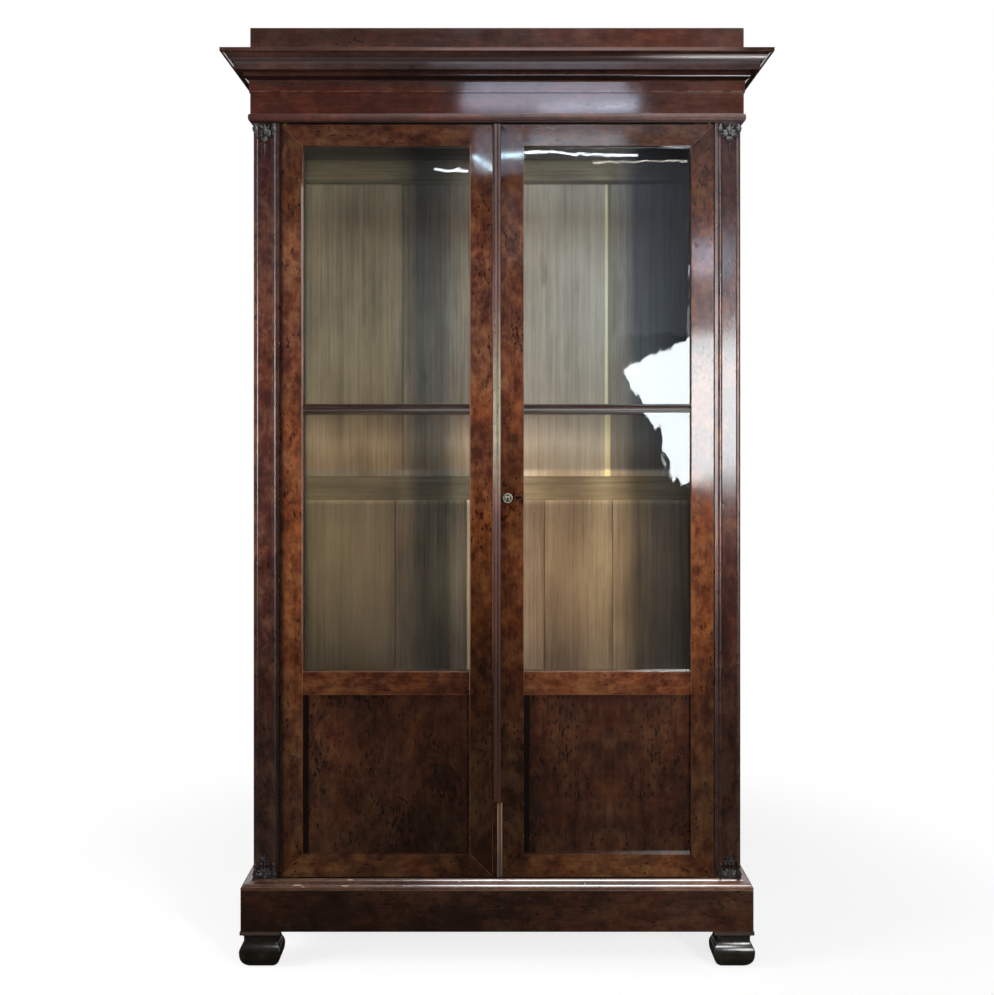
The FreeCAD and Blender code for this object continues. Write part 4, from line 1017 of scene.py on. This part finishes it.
# %% Build the tree
def new_tree(name, shape, numbers, result):
    """A tree that takes a shape, numbers and a finish. Its sheet and the values of its inputs."""
    tree = bpy.data.node_groups.new(name, "GeometryNodeTree")
    sockets = [(shape, "Geometry"), *numbers, ("Finish", "Material")]
    for socket, kind in sockets:
        tree.interface.new_socket(socket, in_out="INPUT", socket_type="NodeSocket" + kind)
    tree.interface.new_socket(result, in_out="OUTPUT", socket_type="NodeSocketGeometry")
    sheet = Sheet(tree)
    inputs = sheet.add("NodeGroupInput").socket.node.outputs
    return sheet, [Value(sheet, inputs[socket]) for socket, kind in sockets]


def closed_tree(sheet, shape, finish):
    """Ends a tree: its instances become real and take the finish."""
    real = sheet.add("GeometryNodeRealizeInstances", {"Geometry": shape})
    done = sheet.add("GeometryNodeSetMaterial", {"Geometry": real, "Material": finish})
    result = sheet.tree.nodes.new("NodeGroupOutput")
    sheet.tree.links.new(done.socket, result.inputs[0])
    return sheet.tree


def mitred_tree():
    numbers = [("Half length", "Float"), ("Start mitre", "Float"), ("End mitre", "Float")]
    sheet, (section, half, start, end, finish) = new_tree("mitred_run", "Section", numbers, "Run")
    out = sheet.parts(sheet.add("GeometryNodeInputPosition"))[0]
    back = sheet.add("ShaderNodeCombineXYZ", {2: (half + out * start) * -1.0})
    ahead = sheet.add("ShaderNodeCombineXYZ", {2: half * 2.0 + out * start + out * end})
    foot = sheet.add("GeometryNodeSetPosition", {"Geometry": section, "Offset": back})
    slab = sheet.add("GeometryNodeExtrudeMesh", {"Mesh": foot, "Offset Scale": 0.0, "Individual": False})
    top = Value(sheet, slab.socket.node.outputs["Top"])
    run = sheet.add("GeometryNodeSetPosition", {"Geometry": slab, "Selection": top, "Offset": ahead})
    cap = sheet.add("GeometryNodeFlipFaces", {"Mesh": foot})
    whole = sheet.add("GeometryNodeJoinGeometry", {0: cap})
    sheet.tree.links.new(run.socket, whole.socket.node.inputs[0])
    closed = sheet.add("GeometryNodeMergeByDistance", {"Geometry": whole, "Distance": 1e-6})
    return closed_tree(sheet, closed, finish)


def set_inputs(modifier, values):
    """Sets a tree's inputs by their sockets' identifiers."""
    for item in modifier.node_group.interface.items_tree:
        if item.item_type == "SOCKET" and item.name in values:
            modifier[item.identifier] = values[item.name]


mitred = mitred_tree()
print("tree:", mitred.name, len(mitred.nodes), "nodes")

# %% [markdown]
# The front run lies along X with both ends mitred. The returns lie along Y, mitred at the front
# only and cut square at the back, so that the cabinet stands against a wall.

# %% Run a moulding round three sides
front_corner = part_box("right_front_post")
opening_half, face_y, floor_top = front_corner[0]
half_width, posts_top = front_corner[1].x, front_corner[1].z
back_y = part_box("back_posts")[1].y
half_depth = (back_y - face_y) / 2
middle_y = (back_y + face_y) / 2


def turned(columns, place):
    """Matrix that sends the section's axes to given axes of the cabinet."""
    return Matrix.Translation(place) @ Matrix(columns).transposed().to_4x4()


ways = {
    "front": (half_width, 1.0, 1.0, turned([(0, -1, 0), (0, 0, 1), (-1, 0, 0)], (0, face_y, 0)), 0),
    "right": (half_depth, 0.0, 1.0, turned([(1, 0, 0), (0, 0, 1), (0, -1, 0)], (half_width, middle_y, 0)), 1),
    "left": (half_depth, 1.0, 0.0, turned([(-1, 0, 0), (0, 0, 1), (0, 1, 0)], (-half_width, middle_y, 0)), 1),
}


def moulding(name, corners, finishes, nodes):
    """Front run and two returns of one section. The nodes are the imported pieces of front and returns."""
    for way, (half, start, end, matrix, axis) in ways.items():
        piece = link(f"{name}_{way}", flat_face(name, outline(corners)))
        modifier = piece.modifiers.new("run", "NODES")
        modifier.node_group = mitred
        set_inputs(modifier, {"Half length": half, "Start mitre": start, "End mitre": end,
                              "Finish": finishes[axis]})
        bake_modifiers(piece)
        piece.data.transform(matrix)
        piece.data.materials.clear()
        coat(piece.data, (finishes[axis], finishes[3]))
        ease(piece, 0.0004, 1)
        dress(piece, nodes[0] if way == "front" else nodes[-1], finishes)
    print(name, "polygons:", len(piece.data.polygons))


frieze_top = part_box("frieze_front")[1].z
plinth_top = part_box("plinth_front")[1].z
fillet_top = plinth_top + 0.0061
recess_top, bead_top = posts_top + 0.0035, posts_top + 0.019
corona_foot, corona_top, crown_top = frieze_top + 0.021, frieze_top + 0.041, frieze_top + 0.0635
corona_out, crown_out = 0.038, 0.065

moulding("plinth_moulding", [
    (0.0, plinth_top), (0.025, plinth_top), (0.025, fillet_top), (0.0225, fillet_top),
    (0.01225, (fillet_top + floor_top) / 2, 0.16), (0.002, floor_top, -0.16), (0.0, floor_top),
], rubbed_plinth, ["plinth_moulding"])
moulding("frieze_bead", [
    (0.006, posts_top), (0.0064, posts_top), (0.0064, recess_top), (0.0092, recess_top), (0.0092, bead_top, 0.1),
    (0.006, bead_top),
], frieze_bead_wood, ["frieze_bead"])
moulding("cornice", [
    (-0.018, frieze_top), (0.0085, frieze_top), (0.013, frieze_top + 0.0045, -0.15), (0.016, corona_foot, 0.3),
    (corona_out, corona_foot), (corona_out, corona_top), (0.04, corona_top), (0.05, frieze_top + 0.046, 0.27),
    (0.0635, frieze_top + 0.055, -0.16), (crown_out, frieze_top + 0.055), (crown_out, crown_top), (-0.018, crown_top),
], cornice_wood, ["cornice_front", "cornice_returns"])

# %% [markdown]
# ## Turned-looking feet cut from square blocks
#
# Each foot has the same ogee on its front and sides. A stack of square rings follows the section,
# with softened corners, and is capped at both ends. Behind, each foot is cut flat: the front feet
# are shallow, the back feet end in line with the cabinet's back.

# %% Stack the feet
def foot_rings(centre_x, centre_y, half, clip_y, corner=0.0016):
    section = outline([
        (half - 0.02, 0.0), (half + 0.001, 0.036, 0.14), (half - 0.0025, 0.052, 0.1), (half - 0.0085, 0.067, -0.12),
        (half - 0.0085, 0.075), (half, 0.081, -0.12), (half, 0.0885),
    ], 9)
    rings = []
    for out, height in section:
        ring = []
        for turn in range(4):
            way = Matrix.Rotation(turn * math.pi / 2, 3, "Z")
            for step in range(4):
                angle = step / 3 * math.pi / 2
                flat = out - corner
                point = way @ Vector((flat + corner * math.cos(angle), flat + corner * math.sin(angle), 0))
                ring.append((centre_x + point.x, min(centre_y + point.y, clip_y), height))
        rings.append(ring)
    return rings


def stacked(name, rings):
    """Closed mesh through rings of equal length, listed from the bottom up."""
    count = len(rings[0])
    top = (len(rings) - 1) * count
    faces = [tuple(reversed(range(count)))]
    for low in range(0, top, count):
        faces += [(low + n, low + (n + 1) % count, low + count + (n + 1) % count, low + count + n)
                  for n in range(count)]
    faces.append(tuple(range(top, top + count)))
    return solid(name, [point for ring in rings for point in ring], faces)


def ebonised(name):
    """Blackened and polished wood, rubbed brown on its high spots. The left feet carry painted shade and the top
    fillet a painted highlight.
    """
    material, sheet = new_finish(name)
    place = sheet.here()
    rub = sheet.noise(place, 34.0, 4.0, 0.6)
    grain = sheet.grain(place, (8.0, 160.0, 160.0), 3.0, 0.6)
    dark, mid, pale = shades((34, 31, 26), (47, 43, 36), (64, 58, 48))
    colour = sheet.ramp(rub * 0.6 + grain * 0.4, [(0.4, dark), (0.56, mid), (0.7, pale)])
    x, y, height = sheet.parts(place)
    # Painted shade on the left feet, and a painted highlight on the top fillet.
    colour = sheet.mixed(x.step(0.2, -0.2), colour, (0.5, 0.46, 0.42, 1.0), "MULTIPLY")
    colour = sheet.mixed(height.step(0.081, 0.0825) * 0.5, colour, tint(92, 78, 70))
    surface(sheet, colour, rub * 0.16 + 0.17, Specular_IOR_Level=0.5, Normal=sheet.bump(grain, 0.0002, 0.4))
    return material


foot_low, foot_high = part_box("feet")
half_foot, foot_inset = 0.048, 0.001
black_wood = ebonised("blackened_wood")
front_feet_back = max(vert.co.y for vert in frame["nodes"]["feet"].data.vertices if vert.co.y < 0)
front_feet = foot_low.y + foot_inset + half_foot, front_feet_back
for number, (across, (centre_y, clip_y)) in enumerate(
        [(across, ends) for ends in (front_feet, (back_y - half_foot, back_y)) for across in (-1, 1)]):
    centre_x = across * (foot_high.x - foot_inset - half_foot)
    mesh = stacked(f"foot_{number}", foot_rings(centre_x, centre_y, half_foot, clip_y))
    piece = link(f"foot_{number}", mesh)
    shade(piece, 30)
    dress(piece, "feet", [black_wood])
print("feet:", 4, "polygons each:", len(mesh.polygons))

# %% [markdown]
# ## Reeded posts
#
# The posts have one section from end to end: a corner reed, a flat band, an inner reed and a plain
# strip beside the door. The section is drawn in plan and drawn out upwards.

# %% Draw the posts out
post_plan = outline([
    (opening_half, -0.05), (half_width, -0.05), (half_width, -0.0042), (reed_out, -0.0021, 0.2), (reed_out, -0.001),
    (reed_in, -0.001), (reed_in, -0.0021), (opening_half + 0.008, -0.0021, 0.2), (opening_half + 0.008, -0.0015),
    (opening_half, -0.0015),
], 12)
for side, sign in (("left", -1), ("right", 1)):
    plan = [(sign * across, face_y - out) for across, out in post_plan]
    if sign > 0:
        plan.reverse()
    rings = [[(x, y, level) for x, y in plan] for level in (floor_top, posts_top)]
    piece = link(f"{side}_front_post_reeded", stacked(f"{side}_post", rings))
    coat(piece.data, post_wood[2:])
    ease(piece, 0.0004, 1)
    dress(piece, f"{side}_front_post", post_wood)
print("posts: section of", len(post_plan), "points")

# %% [markdown]
# ## The back boards
#
# The back is a frame with upright boards between its rails. The boards have shrunk and show dark
# joints. One joint in each half has opened so far that the neighbour's tongue shows, still pale
# because it never saw the light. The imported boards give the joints' places.

# %% Lay the back boards one by one
def box_mesh(mesh_data, low, high):
    """Adds a box and returns its faces."""
    verts = [mesh_data.verts.new((x, y, z)) for z in (low[2], high[2]) for y in (low[1], high[1])
             for x in (low[0], high[0])]
    sides = [(0, 2, 3, 1), (4, 5, 7, 6), (0, 1, 5, 4), (2, 6, 7, 3), (0, 4, 6, 2), (1, 3, 7, 5)]
    return [mesh_data.faces.new([verts[n] for n in side]) for side in sides]


def joints(node):
    """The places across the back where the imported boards' faces begin and end."""
    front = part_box(node)[0].y
    corners = frame["nodes"][node].data.vertices
    return sorted({round(vert.co.x, 4) for vert in corners if vert.co.y - front < 0.0005})


def back_wall(node, seed):
    low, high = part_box(node)
    dice = random.Random(seed)
    mesh_data = bmesh.new()
    tone = mesh_data.faces.layers.float.new("board_tone")
    edges = joints(node)
    for left, right in zip(edges, edges[1:]):
        gap = right - left < 0.03
        inset = -0.003 if gap else 0.0004
        front = low.y + (0.006 if gap else dice.uniform(0.0002, 0.0012))
        faces = box_mesh(mesh_data, (left + inset, front, low.z), (right - inset, high.y - 0.002 * gap, high.z))
        value = dice.random()
        for face in faces:
            face[tone] = value
            face.material_index = (2 if right - left > 0.005 else 3) if gap else 0
    piece = link(node + "_laid", settled(mesh_data, node + "_laid"))
    coat(piece.data, (inside_oak[2], inside_oak[3], pale_oak, shaded_oak[2]))
    ease(piece, 0.0008, 1)
    dress(piece, node, [])
    print(node, "joints at", [round(edge, 3) for edge in edges])


back_wall("upper_back_boards", 4)
back_wall("lower_back_boards", 9)

# %% [markdown]
# ## The meeting bead
#
# Over the meeting line runs a bead of two reeds with a groove between them. Its lowest stretch has
# broken away, so its lower end is ragged.

# %% Break the bead
def bead_rings(low, high, face, half=0.00925, side_out=0.0052, quirk=0.0004, quirk_out=0.0058, tear=0.012):
    """Rings of two reeds in front of a face. The lowest ones are torn, as far up as the tear."""
    section = outline([
        (half, 0.0), (half, side_out), (quirk, quirk_out, 0.17), (-quirk, quirk_out), (-half, side_out, 0.17),
        (-half, 0.0),
    ], 10)
    dice = random.Random(11)
    ragged = [dice.uniform(0.0, 0.007) for _ in section]
    rings = []
    for level in [0.0, 0.0035, tear] + [tear + n * (high - low - tear) / 6 for n in range(1, 7)]:
        share = max(0.0, 1.0 - level / tear)
        ring = [(x, face - out, low + level + share * rag) for (x, out), rag in zip(section, ragged)]
        rings.append(ring[::-1])
    return rings


bead_low, bead_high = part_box("meeting_bead")
door_face_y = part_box("right_door_outer_stile")[0].y
bead = link("meeting_bead_reeded", stacked("meeting_bead", bead_rings(bead_low.z, bead_high.z, door_face_y)))
shade(bead, 50)
dress(bead, "meeting_bead", [bead_wood])
print("bead:", len(bead.data.polygons), "polygons")

# %% [markdown]
# ## Cast mounts
#
# The posts carry small cast mounts at head and foot. They are leaves, set as fans round a point,
# with berries, a bar and a bud. One leaf is modelled, with a rib, a rolled tip and a lobed edge. A
# Geometry Nodes tree repeats it round an arc, longest in the middle, and every fan of the mounts
# comes from that tree.

# %% Model a leaf
def leaf_mesh(name, length, width, thickness, lobes=3, across=6, along=10, droop=0.0):
    """Closed leaf that grows along Z from its root and stands out towards -Y."""
    mesh_data = bmesh.new()
    front, back = [], []
    for row in range(along + 1):
        t = row / along
        half = width / 2 * (math.sin(math.pi * (0.06 + 0.94 * t) ** 0.72) ** 0.8 + 0.02)
        half *= 1.0 + 0.16 * math.sin(2 * math.pi * lobes * t)
        crown = thickness * (0.3 + 0.7 * math.sin(math.pi * min(1.0, 0.15 + t)) ** 0.7)
        crown += droop * thickness * math.exp(-((t - 0.82) / 0.16) ** 2)
        hollow = math.sin(math.pi * t)
        front_row, back_row = [], []
        for column in range(across + 1):
            s = 2 * column / across - 1
            relief = crown * (1.0 - 0.75 * abs(s) ** 1.6) * (1.0 - 0.45 * math.exp(-(s / 0.22) ** 2) * hollow)
            front_row.append(mesh_data.verts.new((s * half, -max(relief, thickness * 0.12), t * length)))
            back_row.append(mesh_data.verts.new((s * half, 0.0, t * length)))
        front.append(front_row)
        back.append(back_row)

    def between(first, second, third, fourth):
        """Faces from one line of points to another, which are given by their two ends."""
        for corners in zip(first, second, third, fourth):
            mesh_data.faces.new(corners)

    for low_front, high_front, low_back, high_back in zip(front, front[1:], back, back[1:]):
        between(low_front, low_front[1:], high_front[1:], high_front)
        between(low_back[1:], low_back, high_back, high_back[1:])
        mesh_data.faces.new((low_back[0], low_front[0], high_front[0], high_back[0]))
        mesh_data.faces.new((low_front[-1], low_back[-1], high_back[-1], high_front[-1]))
    between(front[0][1:], front[0], back[0], back[0][1:])
    between(front[-1], front[-1][1:], back[-1][1:], back[-1])
    return settled(mesh_data, name)


# %% Build the fan tree
def fan_tree():
    numbers = [("Count", "Int"), ("Spread", "Float"), ("Shortening", "Float"), ("Fattening", "Float")]
    sheet, (leaf, count, spread, short, fat, finish) = new_tree("leaf_fan", "Leaf", numbers, "Fan")
    roots = sheet.add("GeometryNodeMeshLine", {"Count": count, "Offset": (0.0, 0.0, 0.0)})
    number = sheet.add("GeometryNodeInputIndex")
    share = number / (count - 1.0).most(1.0) * 2.0 - 1.0
    turn = sheet.add("ShaderNodeCombineXYZ", {1: share * spread * 0.5})
    long = 1.0 - abs(share) * short
    stout = 1.0 + abs(share) * fat
    size = sheet.add("ShaderNodeCombineXYZ", {0: stout, 1: long, 2: long})
    leaves = sheet.add("GeometryNodeInstanceOnPoints", {"Points": roots, "Instance": leaf, "Rotation": turn,
                       "Scale": size})
    return closed_tree(sheet, leaves, finish)


fan = fan_tree()
print("tree:", fan.name, len(fan.nodes), "nodes")


# %% Cast the mounts
def fan_mesh(leaf, count, spread, shortening=0.3, fattening=0.0):
    piece = link("fan", leaf)
    modifier = piece.modifiers.new("fan", "NODES")
    modifier.node_group = fan
    set_inputs(modifier, {"Count": count, "Spread": spread, "Shortening": shortening, "Fattening": fattening,
                          "Finish": dark_bronze})
    mesh = bake_modifiers(piece).data
    bpy.data.objects.remove(piece)
    return mesh


def knob(radius, depth, rings=5, sides=12):
    """Half of a flattened ball that stands out towards -Y."""
    rows = []
    for ring in range(rings + 1):
        angle = ring / rings * math.pi / 2
        around = radius * (0.02 if ring == rings else math.cos(angle))
        rows.append([(x, -depth * math.sin(angle), z) for x, z in circle(around, sides)])
    return stacked("knob", rows)


def stamp(target, mesh, place, turn=0.0, scale=(1.0, 1.0, 1.0)):
    """Adds a copy of a mesh to a growing one, turned in the face of the post and set in place."""
    matrix = Matrix.Translation(place) @ Matrix.Rotation(turn, 4, "Y") @ Matrix.Diagonal((*scale, 1.0))
    copy = mesh.copy()
    copy.transform(matrix)
    target.from_mesh(copy)
    bpy.data.meshes.remove(copy)


def stamps(target, centre, front, level, rows):
    """Stamps a list of meshes at their places about a centre: across it, out from the front, and up."""
    for mesh, across, out, up, *rest in rows:
        stamp(target, mesh, (centre + across, front - out, level + up), *rest)


def cast(mesh_data, name):
    """The growing mesh, with its faces turned outwards."""
    bmesh.ops.recalc_face_normals(mesh_data, faces=mesh_data.faces)
    return settled(mesh_data, name)


long_leaf = leaf_mesh("long_leaf", 0.026, 0.0085, 0.0032, lobes=2)
broad_leaf = leaf_mesh("broad_leaf", 0.021, 0.012, 0.003, lobes=3, droop=0.5)
curl_leaf = leaf_mesh("curl_leaf", 0.015, 0.008, 0.0036, lobes=2, droop=0.7)
drop_leaf = leaf_mesh("drop_leaf", 0.044, 0.0055, 0.0026, lobes=6, along=18)
crest = fan_mesh(long_leaf, 7, math.radians(168), 0.32, 0.15)
husk = fan_mesh(curl_leaf, 5, math.radians(120), 0.25, 0.1)
spray = fan_mesh(curl_leaf, 3, math.radians(76), 0.18)
wide_crest = fan_mesh(long_leaf, 9, math.radians(190), 0.2, 0.2)
berry, pip = knob(0.0034, 0.0034), knob(0.0019, 0.0022)
rail = bmesh.new()
box_mesh(rail, (-0.0125, -0.0026, -0.0012), (0.0125, 0.0, 0.0012))
bar = settled(rail, "mount_bar")

# Each row: the mesh, its place across, out and up, its turn and its scale.
head_on_band = [
    (crest, 0, 0.001, -0.027), (broad_leaf, 0, 0.0034, -0.022, 0, (0.9, 0.9, 0.9)),
    (knob(0.0042, 0.0042), 0, 0.002, -0.026),
    *[row for tilt in (-1, 1) for row in ((curl_leaf, tilt * 0.0055, 0.001, -0.028, tilt * 2.1),
                                          (curl_leaf, tilt * 0.004, 0.002, -0.014, tilt * 0.75))],
    (husk, 0, 0.0005, -0.0335, math.pi),
    *[(pip, 0, 0.0006, -0.0435 - number * 0.0052, 0, (1.2 - 0.15 * number,) * 3) for number in range(3)],
    (drop_leaf, 0, 0.0002, -0.044, math.pi, (1.0, 1.0, 0.75)),
]
head_on_reed = [(broad_leaf, 0, 0, -0.022), (curl_leaf, 0, 0.0006, -0.030, 0, (0.8, 1.0, 1.0)),
                (pip, 0, 0.0022, -0.031)]
foot_on_band = [
    (wide_crest, 0, 0.001, 0.0045, 0, (1.05, 1.1, 0.95)), (broad_leaf, 0, 0.0034, 0.004, 0, (1.0, 1.0, 0.85)),
    (knob(0.0046, 0.0048), 0, 0.002, 0.0052),
    *[row for tilt in (-1, 1) for row in ((curl_leaf, tilt * 0.004, 0.002, 0.006, tilt * 1.15, (1.3, 1.0, 1.0)),
                                          (broad_leaf, tilt * 0.002, 0.001, 0.004, tilt * 1.4, (1.0, 0.9, 0.8)))],
    *[(berry, across, 0, 0.0335, 0, (0.95, 1.0, 0.95)) for across in (-0.0085, 0.0, 0.0085)],
    (bar, 0, 0, 0.0405), (spray, 0, 0.0002, 0.042), (knob(0.0026, 0.003), 0, 0.0004, 0.0435),
]
foot_on_reed = [(broad_leaf, 0, 0, 0, 0, (1.0, 1.0, 1.25)), (curl_leaf, 0, 0.0008, 0, 0, (1.0, 1.1, 1.0)),
                (berry, 0, 0.0012, 0.0345)]
band_front = face_y - 0.001
outer_reed, inner_reed = half_width - 0.0055, opening_half + 0.013
for side, sign in (("left", -1), ("right", 1)):
    for name, level, on_band, on_reed in (("head", posts_top - 0.001, head_on_band, head_on_reed),
                                          ("foot", floor_top + 0.0008, foot_on_band, foot_on_reed)):
        mesh_data = bmesh.new()
        stamps(mesh_data, sign * band_middle, band_front, level, on_band)
        stamps(mesh_data, sign * outer_reed, face_y - 0.0062, level, on_reed)
        stamps(mesh_data, sign * inner_reed, face_y - 0.0042, level, on_reed)
        mesh = cast(mesh_data, f"{side}_{name}_mount")
        piece = link(mesh.name, mesh)
        mesh.materials.clear()
        mesh.polygons.foreach_set("material_index", [0] * len(mesh.polygons))
        shade(piece, 50)
        dress(piece, "post_mounts", [dark_bronze])
        print(f"{side} {name} mount:", len(mesh.polygons), "polygons")

# %% [markdown]
# ## The key plate
#
# A turned disc with a raised rim and a sunk ground, on which four petals lie crosswise. The keyhole in
# its lower half, a round eye above a widening slot, is a solid painted near black as the shade of a hole.

# %% Turn the key plate
plate_low, plate_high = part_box("escutcheon")
plate_x, plate_z = (plate_low.x + plate_high.x) / 2, (plate_low.z + plate_high.z) / 2
plate_radius = (plate_high.x - plate_low.x) / 2
plate_out = plate_high.y - plate_low.y
plate_profile = [(1.0, 0.0), (1.0, 0.35), (0.97, 0.75), (0.9, 0.98), (0.82, 0.95), (0.76, 0.5), (0.7, 0.3),
                 (0.02, 0.34)]
rings = [[(x, -plate_out * out, z) for x, z in circle(plate_radius * share, 48)] for share, out in plate_profile]
petal = leaf_mesh("petal", plate_radius * 0.72, plate_radius * 0.42, plate_out * 0.6, lobes=1)
mesh_data = bmesh.new()
stamps(mesh_data, plate_x, plate_high.y, plate_z, [(stacked("plate_disc", rings), 0, 0, 0)] + [
    (petal, 0, plate_out * 0.3, 0, math.radians(45) + quarter * math.pi / 2) for quarter in range(4)])
mesh = cast(mesh_data, "key_plate")
key_plate = link("key_plate", mesh)
ground = [face for face in mesh.polygons if face.center.y > plate_high.y - plate_out * 0.42
          and math.hypot(face.center.x - plate_x, face.center.z - plate_z) < plate_radius * 0.79]
for face in ground:
    face.material_index = 1
shade(key_plate, 40)
dress(key_plate, "escutcheon", [pale_plate, plate_ground])

# Near black: painted shade of the keyhole.
painted_keyhole_shade, sheet = new_finish("keyhole_dark")
surface(sheet, tint(8, 7, 6), 0.9)
eye = outline([(0.0026, 0.0), (-0.0026, 0.0, 0.5), (-0.0030, -0.0062), (0.0030, -0.0062), (0.0026, 0.0)], 12)[:-1]
rings = [[(plate_x + x, out, plate_z - 0.0008 + z) for x, z in eye] for out in (plate_high.y - 0.0002, plate_low.y)]
mesh_data = bmesh.new()
mesh_data.from_mesh(stacked("keyhole_rings", rings))
dress(link("keyhole", cast(mesh_data, "keyhole")), "escutcheon", [painted_keyhole_shade])
print("key plate radius:", round(plate_radius, 4), "thickness:", round(plate_out, 4))

# %% [markdown]
# ## Panes and fittings
#
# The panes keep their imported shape. The brass and iron fittings get eased edges.

# %% Finish the panes and the fittings
for side in ("left", "right"):
    pane = frame["nodes"][f"{side}_door_glass"].data
    pane.materials.clear()
    coat(pane, [glass])
for node in ("left_door_pivots", "right_door_pivots", "pivot_plates", "left_door_fittings", "upper_rod_bolt",
             "lower_rod_bolt", "lock_bolt"):
    boards(node, [aged_brass] * 4, 0.0003)
boards("lock_case", [dull_iron] * 4, 0.0005)
print("fittings eased")
